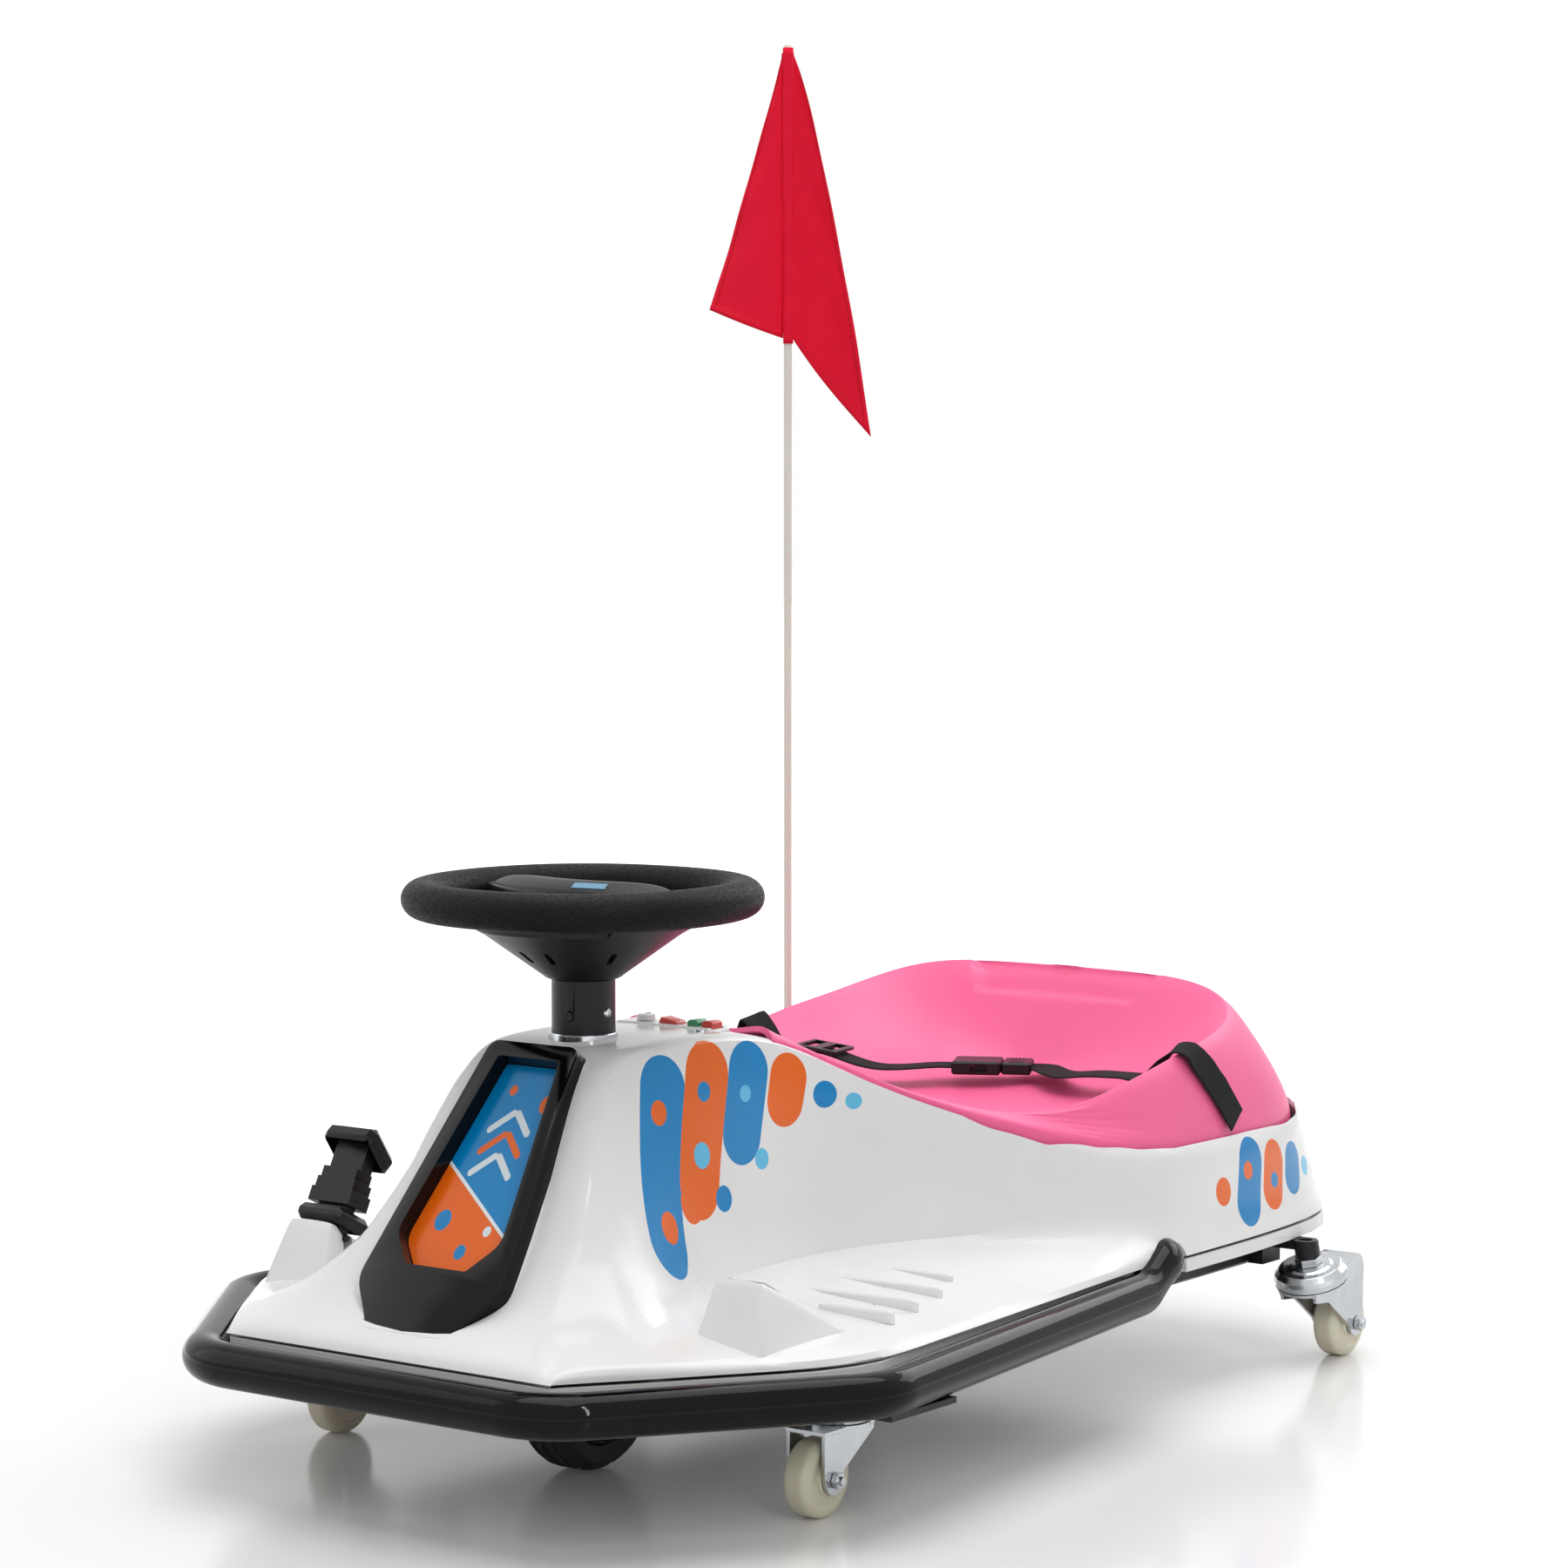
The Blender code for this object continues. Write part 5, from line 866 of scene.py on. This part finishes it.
class DRIFT_OT_chassis(Piece):
    """The bumper tube, the rails and cross members, the bridge and the yoke"""

    bl_idname = "drift.chassis"
    bl_label = "Frame and bumper"

    CORNERS = ((0, -0.2108), (0.1394, -0.2108), (0.264, -0.040), (0.2145, 0.378), (0.1783, 0.378))
    BENDS = (0.055, 0.055, 0.026)
    RADIUS = 0.0143
    HIGH, RISE = 0.088, 0.017
    RISE_Y, RISE_LONG = 0.322, 0.048  # where the tube starts to rise and how long it takes

    def tube_line(self):
        """The tube's middle line from its right end round the nose to its left end."""
        points = [Vector(c) for c in self.CORNERS]
        path = []
        for before, corner, after, radius in zip(points, points[1:], points[2:], self.BENDS):
            if after is points[-1]:
                # Rows on the straight before the last bend, for the rise to be smooth
                path += [before.lerp(corner, t) for t in even(0.5, 0.92, 24)]
            first, last = (before - corner).normalized(), (after - corner).normalized()
            half = first.angle(last) / 2
            middle = corner + (first + last).normalized() * (radius / math.sin(half))
            first, last = (corner + way * (radius / math.tan(half)) - middle for way in (first, last))
            path += [middle + first.slerp(last, t) * radius for t in even(0, 1, 20)]
        path.append(points[-1])
        both = [Vector((-p.x, p.y)) for p in reversed(path)] + path
        rise = [self.HIGH + self.RISE * eased((p.y - self.RISE_Y) / self.RISE_LONG) for p in both]
        return [Vector((p.x, p.y + STEER_Y, z)) for p, z in zip(both, rise)]

    def tube(self, shape):
        line = self.tube_line()
        rows = []
        for i, spot in enumerate(line):
            along = heading(line, i)
            out, up = Vector((along.y, -along.x, 0)), Vector((0, 0, 1))
            ring = (spot + (out * math.cos(t) + up * math.sin(t)) * self.RADIUS for t in circle(32))
            rows.append([shape.verts.new(corner) for corner in ring])
        grid_faces(shape, rows, around=True, ends=True)

    def work(self, context):
        self.rebuilt("bumper_tube", self.tube, 60)
        rails = ("left_frame_rail", "right_frame_rail")
        self.crisp(*rails, "front_cross_member", "middle_cross_member", bevel=0.0012)
        self.crisp("rear_axle_beam", "column_bridge", "drive_yoke", "shaft_foot_bearing")


class DRIFT_OT_casters(Piece):
    """The four swivel casters"""

    bl_idname = "drift.casters"
    bl_label = "Casters"

    # Half of a wheel's section: radius and distance from its middle, from the bore to the crown
    WHEEL = (
        *((0.0033, 0.0110), (0.0100, 0.0110), (0.0107, 0.0104), (0.0112, 0.0088), (0.0165, 0.0086)),
        *((0.0178, 0.0098), (0.0196, 0.0095), (0.0222, 0.0086), (0.0240, 0.0073), (0.0248, 0.0058)),
        (0.0250, 0.0040),
    )

    def work(self, context):
        profile = [*self.WHEEL, *((r, -h) for r, h in reversed(self.WHEEL))]
        for end in ("front", "rear"):
            for _, side in SIDES:
                name = f"{end}_{side}_caster"
                place = Matrix.Translation(JOINTS[name + "_wheel_spin"]) @ spin("Y", 90)
                self.rebuilt(name + "_wheel", lambda shape: turned(shape, profile, 72, place), 30)
                self.crisp(name + "_fork", name + "_axle")
        self.crisp("front_left_caster_plate", "front_right_caster_plate")
        for part in ("bearing_housing", "kingpin"):
            self.crisp(f"rear_left_caster_{part}", f"rear_right_caster_{part}")


class DRIFT_OT_drive(Piece):
    """The drive wheel with its tread, its axle and the geared motor"""

    bl_idname = "drift.drive"
    bl_label = "Drive wheel"

    STEPS = 192
    RADIUS = 0.050
    CUT = 0.0014  # depth of the grooves and cuts
    SIDEWALL = ((0.0335, 0.0165), (0.042, 0.0200))
    ACROSS = (
        *(-0.020, -0.0195, -0.0182, -0.0160, -0.0135, -0.0105),
        *(-0.0100, -0.0080, -0.0075, -0.0030, -0.0025),
    )

    def radius(self, w, i):
        """The tread's radius at a distance w from its middle and at step i of its round."""
        a = abs(w)
        crown = self.RADIUS - 0.0060 * (max(a - 0.008, 0.0) / 0.012) ** 1.8
        groove = a < 0.0028 or 0.0077 < a < 0.0103
        cut = a < 0.0185 and (i + (8 if w > 0 else 0) + int(a * 300)) % 16 < 3
        return crown - (self.CUT if groove or cut else 0.0)

    def tyre(self, shape):
        """Blocks between grooves round the crown, with slanting cuts across the shoulders."""
        place = Matrix.Translation((0, STEER_Y, self.RADIUS)) @ spin("Y", 90)
        across = [*self.ACROSS, *(-w for w in reversed(self.ACROSS))]
        rings = [([r] * self.STEPS, -w) for r, w in self.SIDEWALL]
        rings += [([self.radius(w, i) for i in range(self.STEPS)], w) for w in across]
        rings += [([r] * self.STEPS, w) for r, w in reversed(self.SIDEWALL)]
        rows = []
        for radii, w in rings:
            spots = (Vector((r * math.cos(t), r * math.sin(t), w)) for r, t in zip(radii, circle(self.STEPS)))
            rows.append([shape.verts.new(place @ spot) for spot in spots])
        grid_faces(shape, [*rows, rows[0]], around=True)

    def work(self, context):
        self.rebuilt("drive_tyre", self.tyre, 30)
        self.crisp("drive_wheel_hub", "drive_axle", "drive_gear_motor", "battery", "motor_controller")


class DRIFT_OT_controls(Piece):
    """The accelerator, and the knob, rocker and buttons behind the column"""

    bl_idname = "drift.controls"
    bl_label = "Accelerator and controls"

    STEM_LEAN, PAD_LEAN = -27.18, -29
    PAD_UP = 0.062
    RIB_STEP = 0.0052

    def pointer(self, shape):
        x, y, z = JOINTS["speed_turn"]
        block(shape, (0.0009, 0.0042, 0.0004), Matrix.Translation((x, y + 0.0024, z + 0.0046)))

    def grips(self, shape):
        stem = Matrix.Translation(JOINTS["accelerator_press"]) @ spin("X", self.STEM_LEAN)
        pad = stem @ Matrix.Translation((0, 0.003, self.PAD_UP)) @ spin("X", self.PAD_LEAN)
        for i in range(-2, 3):
            block(shape, (0.030, 0.0018, 0.0016), pad @ Matrix.Translation((0, i * self.RIB_STEP, 0.0080)))

    def work(self, context):
        self.crisp("accelerator_pedal", "pedal_collar", "control_panel", bevel=0.0006)
        self.crisp("power_rocker", "green_button", "red_button", "speed_knob", bevel=0.0004)
        self.extra("speed_knob_pointer", "knob", "black_case", self.pointer)
        self.extra("pedal_grips", "pedal", "black_matte", self.grips)


class DRIFT_OT_belt(Piece):
    """The lap belt's two straps, the glide and the buckle"""

    bl_idname = "drift.belt"
    bl_label = "Lap belt"

    WIDE, THICK = 0.025, 0.0016
    CLOSE = 0.00002  # how nearly a distance between corners has to be one of these
    REACH = 0.020  # the farthest that the next station may be
    FALL = 0.0055  # step of the rows down the wing
    # The upper half of the section: distances from the middle and shares of half the thickness
    SECTION = ((0.0125, 0.25), (0.0120, 0.9), (0.0109, 1.0), (0.006, 0.82))
    BUCKLE = Vector((-0.009, 0.26015, 0.207))
    BUCKLE_X = Vector((0.88539, 0.46484, 0))

    def pairs(self, places, size):
        """Each two of the places that are size apart."""
        for i, a in enumerate(places):
            yield from ((a, b) for b in places[i + 1 :] if abs((a - b).length - size) < self.CLOSE)

    def stations(self, node):
        """The strap's CAD corners taken four by four, as places and widths, from the wing inward."""
        corners = {tuple(round(c, 6) for c in v.co) for v in frame["nodes"][node].data.vertices}
        corners = [Vector(c) for c in sorted(corners)]
        sides = [(a + b) / 2 for a, b in self.pairs(corners, self.THICK)]
        found = [((a + b) / 2, b - a) for a, b in self.pairs(sides, self.WIDE)]
        here = min(found, key=lambda s: s[0].z if abs(s[0].x) > 0.17 else 9)
        line = []
        while found and (not line or (here[0] - line[-1][0]).length <= self.REACH):
            found.remove(here)
            spot, wide = here
            line.append((spot, -wide if line and wide.dot(line[-1][1]) < 0 else wide))
            here = min(found, key=lambda s: (s[0] - spot).length, default=None)
        return line

    def down_the_wing(self, line):
        """The line carried on down the wing's outer face to the edge of the body."""
        (spot, wide), (inner, _) = line[:2]
        fall = (spot - inner).normalized() * self.FALL
        outside = math.copysign(0.3, spot.x)
        rows = [spot + fall * i for i in range(4)]
        hits = [onto(self.seat, (outside, p.y, p.z), (0, p.y, p.z))[0].x for p in rows]
        gap = spot.x - hits[0]
        more = [(Vector((x + gap, p.y, p.z)), wide) for p, x in zip(rows[1:], hits[1:])]
        return [*reversed(more), *line]

    def strap(self, node):
        line = self.down_the_wing(self.stations(node))
        spots, wides = (smooth_line(points, 4) for points in zip(*line))
        near = [(u, h * self.THICK / 2) for u, h in self.SECTION]
        top = [*((-u, h) for u, h in near), (0.0, 0.80 * self.THICK / 2), *reversed(near)]
        loop = top + [(u, -h) for u, h in reversed(top)]

        def build(shape):
            rows, run = [], 0.0
            for i, (spot, wide) in enumerate(zip(spots, wides)):
                along = heading(spots, i)
                wide = (wide - along * wide.dot(along)).normalized()
                up = along.cross(wide)
                run += (spot - spots[i - 1]).length if i else 0.0
                rows.append([(spot + wide * u + up * h, (run, u)) for u, h in loop])
            cloth_grid(shape, rows, around=True, ends=True)

        self.rebuilt(node, build, 50)

    def ribs(self, shape):
        """The finger ribs on the buckle."""
        up = Vector((0, 0, 1))
        turn = axes(self.BUCKLE_X, up.cross(self.BUCKLE_X), up)
        for i in range(4):
            spot = self.BUCKLE + self.BUCKLE_X * (0.0165 + 0.0028 * i) + up * 0.0046
            block(shape, (0.0013, 0.022, 0.0008), Matrix.Translation(spot) @ turn)

    def work(self, context):
        self.seat = skin_of(bpy.data.objects["seat_shell_form"])
        self.strap("belt_strap_left")
        self.strap("belt_strap_right")
        self.crisp("tri_glide", "buckle_socket", "buckle_clip")
        self.extra("buckle_ribs", "chassis", "black_matte", self.ribs)


class DRIFT_OT_flag(Piece):
    """The rod, its socket and cap, and the pennant with its hems"""

    bl_idname = "drift.flag"
    bl_label = "Pennant"

    TOP = 0.962
    HOIST = 0.222
    # Each lobe's reach in X and Y, how far its point drops, and the power of its outline
    LOBES = ((Vector((-0.0545, -0.020)), -0.022, 1.02), (Vector((0.038, 0.049)), 0.074, 0.86))

    def spot(self, lobe, down, across, lift=0.0):
        """A place on a lobe: down its hoist and across from the rod, both from 0 to 1."""
        out, drop, swell = lobe
        reach = max(out.length * down**swell, 0.0008)
        side = Vector((-out.y, out.x)).normalized()
        swing = math.sin(math.pi * across) * 0.010 * down
        wave = math.sin(9.0 * down + 4.0 * across) * 0.0016 * down * across
        wave += math.sin(21.0 * down - 6.0 * across + 1.3) * 0.0006 * across
        flat = out.normalized() * (0.0038 + reach * across) + side * (swing + wave + lift)
        z = self.TOP - 0.004 - (self.HOIST - 0.008) * down - drop * down**1.6 * across
        return Vector((flat.x, flat.y, z)) + self.rod

    def patch(self, shape, lobe, downs, acrosses, lift=0.0):
        """A part of a lobe, or of its hem where it is lifted."""
        rows = []
        for down in downs:
            reach = lobe[0].length * down
            flat = [(down * self.HOIST, across * reach) for across in acrosses]
            rows.append([(self.spot(lobe, down, t, lift), at) for t, at in zip(acrosses, flat)])
        cloth_grid(shape, rows)

    def cloth(self, shape):
        """The two lobes and the sleeve round the rod."""
        for lobe in self.LOBES:
            self.patch(shape, lobe, even(0, 1, 96), even(0, 1, 32))
        rows = []
        for i, down in enumerate(even(0, self.HOIST, 48)):
            row = []
            for t in circle(24):
                r = 0.0037 + 0.00025 * math.sin(3 * t + 0.13 * i) + 0.0002 * math.sin(0.9 * i)
                spot = self.rod + Vector((r * math.cos(t), r * math.sin(t), self.TOP - down))
                row.append((spot, (down, r * t)))
            rows.append(row)
        cloth_grid(shape, rows, around=True)

    def hems(self, shape):
        """The doubled edges."""
        for lobe in self.LOBES:
            for lift in (-0.0006, 0.0006):
                self.patch(shape, lobe, even(0.04, 1, 90), [0.93, 0.965, 1.0], lift)
                self.patch(shape, lobe, [0.972, 0.986, 1.0], even(0.02, 1, 30), lift)

    def stitches(self, shape):
        """The stitches that hold the hems."""
        for lobe in self.LOBES:
            side = Vector((-lobe[0].y, lobe[0].x, 0)).normalized()
            fly = [self.spot(lobe, down, 0.935) for down in even(0.05, 0.95, 180)]
            foot = [self.spot(lobe, 0.974, across) for across in even(0.04, 0.93, 60)]
            for run in (fly, foot):
                gone = 0.0
                for a, b in zip(run, run[1:]):
                    gone += (b - a).length
                    if gone < self.sizes.stitch:
                        continue
                    gone = 0.0
                    along = (b - a).normalized()
                    turn = axes(along, side.cross(along).normalized(), side)
                    block(shape, (0.0020, 0.00045, 0.0022), Matrix.Translation(b) @ turn)

    def work(self, context):
        low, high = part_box("flag_rod")
        self.rod = Vector(((low.x + high.x) / 2, (low.y + high.y) / 2, 0))
        thicken(self.extra("pennant_hems", "chassis", "red_cloth", self.hems), 0.0004)
        self.extra("pennant_stitches", "chassis", "stitching", self.stitches)
        piece = self.rebuilt("flag_cloth", self.cloth, 80, "pennant")
        thicken(piece, 0.0005)
        self.crisp("flag_socket")

        def rod(shape):
            cap = [(0, 0), (0.0018, 0.0002), (0.0028, 0.0012), (0.003, 0.003)]
            profile = [*((r, high.z - down) for r, down in cap), (0.003, low.z), (0, low.z)]
            turned(shape, profile, 32, Matrix.Translation(self.rod), closed=False)

        self.rebuilt("flag_rod", rod, 40)


class DRIFT_OT_screws(Piece):
    """Pan heads with a cross recess where the mouldings are fastened"""

    bl_idname = "drift.screws"
    bl_label = "Screws"

    DECK = (0.040, 0.070 + STEER_Y, 0.40)
    TAIL = (0.120, 0.72 + STEER_Y, 0.145)
    SLEEVE = (0.1, -0.2232, 0.2979)

    def head(self):
        """The mesh that all the screws share."""
        r = self.sizes.screw / 2
        profile = [(0, 0.0018), (r * 0.45, 0.0017), (r * 0.8, 0.0012), (r, 0.0003), (r, -0.001), (0, -0.001)]
        piece = placed("screw", mesh_from("screw", lambda s: turned(s, profile, 28, closed=False)))
        top = Matrix.Translation((0, 0, 0.0018))
        bars = ((r * 1.15, r * 0.26), (r * 0.26, r * 1.15))
        carved(piece, [cutter(block, (*bar, 0.0022), top) for bar in bars], 30)
        mesh = piece.data
        bpy.data.objects.remove(piece)
        return mesh

    def work(self, context):
        mesh = self.head()
        surfaces = {n: skin_of(bpy.data.objects[n + "_form"]) for n in ("body_shell", "column_sleeve")}
        down, ahead, inward = Vector((0, 0, -1)), Vector((0, -1, 0)), Vector((-1, 0, 0))
        spots = []
        for sign, side in SIDES:
            mirror = Vector((sign, 1, 1))
            spots.append((f"deck_screw_{side}", "body_shell", mirror * Vector(self.DECK), down))
            spots.append((f"tail_screw_{side}", "body_shell", mirror * Vector(self.TAIL), ahead))
        spots.append(("tail_screw_middle", "body_shell", Vector((0, *self.TAIL[1:])), ahead))
        spots.append(("sleeve_screw", "column_sleeve", Vector(self.SLEEVE), inward))
        for i, (name, node, start, way) in enumerate(spots):
            place = facing(*onto(surfaces[node], start, start + way))
            piece = link(name, mesh, NODE_BODY[node], self.skins["zinc"])
            piece.matrix_world = place @ Matrix.Rotation(0.6 * i, 4, "Z")


class DRIFT_OT_stage(Piece):
    """The pale floor, the soft lamps, the world and the camera"""

    bl_idname = "drift.stage"
    bl_label = "Studio"

    # The camera's side and height as seen from the column's foot, in degrees, and its place in metres
    TURN, PITCH = 36.5, 4.2
    AWAY, ASIDE, UP = 2.770, 0.1289, 0.4427
    LENS, SENSOR = 98.12, 36
    # Place, aim, size and watts
    LAMPS = {
        "key": ((2.6, -1.6, 2.2), (0, 0, 0.2), (0.14, 2.6), 28),
        "fill": ((-2.8, -1.6, 1.8), (0, 0, 0.2), (2.4, 2.4), 14),
        "top": ((0, 0.2, 3.2), (0, 0, 0), (2.6, 3.4), 72),
        "back": ((0.6, 2.8, 1.9), (0, 0, 0.3), (2.6, 1.2), 22),
    }
    # The floor under the car is paint, and from NEAR to FAR it turns into plain white
    NEAR, FAR = 0.45, 1.5

    def seen(self, net):
        """1 for what the camera sees, also mirrored or through glass, and 0 for what lights."""
        rays = net.add("ShaderNodeLightPath").outputs
        direct = net.math("MAXIMUM", rays["Is Camera Ray"], rays["Is Glossy Ray"])
        return net.math("MAXIMUM", direct, rays["Is Transmission Ray"])

    def floor(self):
        def build(net):
            away = net.vector("LENGTH", net.vector("MULTIPLY", net.place(), (1.0, 0.8, 0.0)))
            glow = net.times(net.span(away, self.NEAR, self.FAR, 0.02, 1.0), self.seen(net))
            paint = net.span(away, self.NEAR, self.FAR, 0.86, 0.0)
            return {"Emission Color": net.grey(glow), "Base Color": net.grey(paint)}

        def plane(shape):
            bmesh.ops.create_grid(shape, x_segments=1, y_segments=1, size=14)

        floor = placed("floor", mesh_from("floor", plane))
        skin = finish("Floor", build, Roughness=0.16, Specular_IOR_Level=0.5, Emission_Strength=1.0)
        floor.data.materials.append(skin)
        return floor

    def lamp(self, name):
        spot, aim, size, power = self.LAMPS[name]
        data = bpy.data.lights.new(name, "AREA")
        data.shape = "RECTANGLE"
        data.size, data.size_y = size
        data.energy = power
        lamp = placed(name, data)
        lamp.location = spot
        lamp.rotation_euler = (Vector(aim) - Vector(spot)).to_track_quat("-Z", "Y").to_euler()
        return lamp

    def world(self, scene):
        scene.world = bpy.data.worlds.new("studio")
        scene.world.use_nodes = True
        scene.world.node_tree.nodes.clear()
        net = Net(scene.world.node_tree)
        soft = net.add("ShaderNodeBackground", {"Color": (1.0, 0.99, 0.98, 1), "Strength": 0.42})
        plain = net.add("ShaderNodeBackground", {"Color": (1, 1, 1, 1), "Strength": 1.0})
        shaders = {0: self.seen(net), 1: soft.outputs[0], 2: plain.outputs[0]}
        mix = net.add("ShaderNodeMixShader", shaders)
        net.add("ShaderNodeOutputWorld", {"Surface": mix.outputs[0]})

    def camera(self, scene):
        a, p = math.radians(self.TURN), math.radians(self.PITCH)
        back = Vector((math.sin(a) * math.cos(p), -math.cos(a) * math.cos(p), math.sin(p)))
        right = Vector((math.cos(a), math.sin(a), 0))
        up = back.cross(right)
        data = bpy.data.cameras.new("camera")
        data.lens, data.sensor_width = self.LENS, self.SENSOR
        camera = placed("camera", data)
        camera.location = back * self.AWAY + right * self.ASIDE + up * self.UP + Vector((0, STEER_Y, 0))
        camera.rotation_mode = "QUATERNION"
        camera.rotation_quaternion = axes(right, up, back).to_quaternion()
        scene.camera = camera
        return camera

    def work(self, context):
        lamps = [self.lamp(name) for name in self.LAMPS]
        self.floor()
        self.camera(context.scene)
        self.world(context.scene)
        context.scene.view_settings.view_transform = "Standard"


OPERATORS = (
    DRIFT_OT_body,
    DRIFT_OT_seat,
    DRIFT_OT_nose,
    DRIFT_OT_steering,
    DRIFT_OT_chassis,
    DRIFT_OT_casters,
    DRIFT_OT_drive,
    DRIFT_OT_controls,
    DRIFT_OT_belt,
    DRIFT_OT_flag,
    DRIFT_OT_screws,
    DRIFT_OT_stage,
)


class DRIFT_PT_panel(bpy.types.Panel):
    """The dressing's settings and steps"""

    bl_idname = "DRIFT_PT_panel"
    bl_label = "Drift car dressing"
    bl_space_type = "VIEW_3D"
    bl_region_type = "UI"
    bl_category = "Drift car"

    def draw(self, context):
        for group in (context.scene.drift_car_colours, context.scene.drift_car_sizes):
            box = self.layout.box()
            for name in group.__annotations__:
                box.prop(group, name)
        for operator in OPERATORS:
            self.layout.operator(operator.bl_idname)


CLASSES = (DriftCarColours, DriftCarSizes, *OPERATORS, DRIFT_PT_panel)


def register():
    for cls in CLASSES:
        bpy.utils.register_class(cls)
    bpy.types.Scene.drift_car_colours = bpy.props.PointerProperty(type=DriftCarColours)
    bpy.types.Scene.drift_car_sizes = bpy.props.PointerProperty(type=DriftCarSizes)


def unregister():
    del bpy.types.Scene.drift_car_sizes
    del bpy.types.Scene.drift_car_colours
    for cls in reversed(CLASSES):
        bpy.utils.unregister_class(cls)


def main():
    register()
    for operator in OPERATORS:
        group, name = operator.bl_idname.split(".")
        getattr(getattr(bpy.ops, group), name)()
    bpy.context.view_layer.update()


if __name__ == "__main__":
    main()
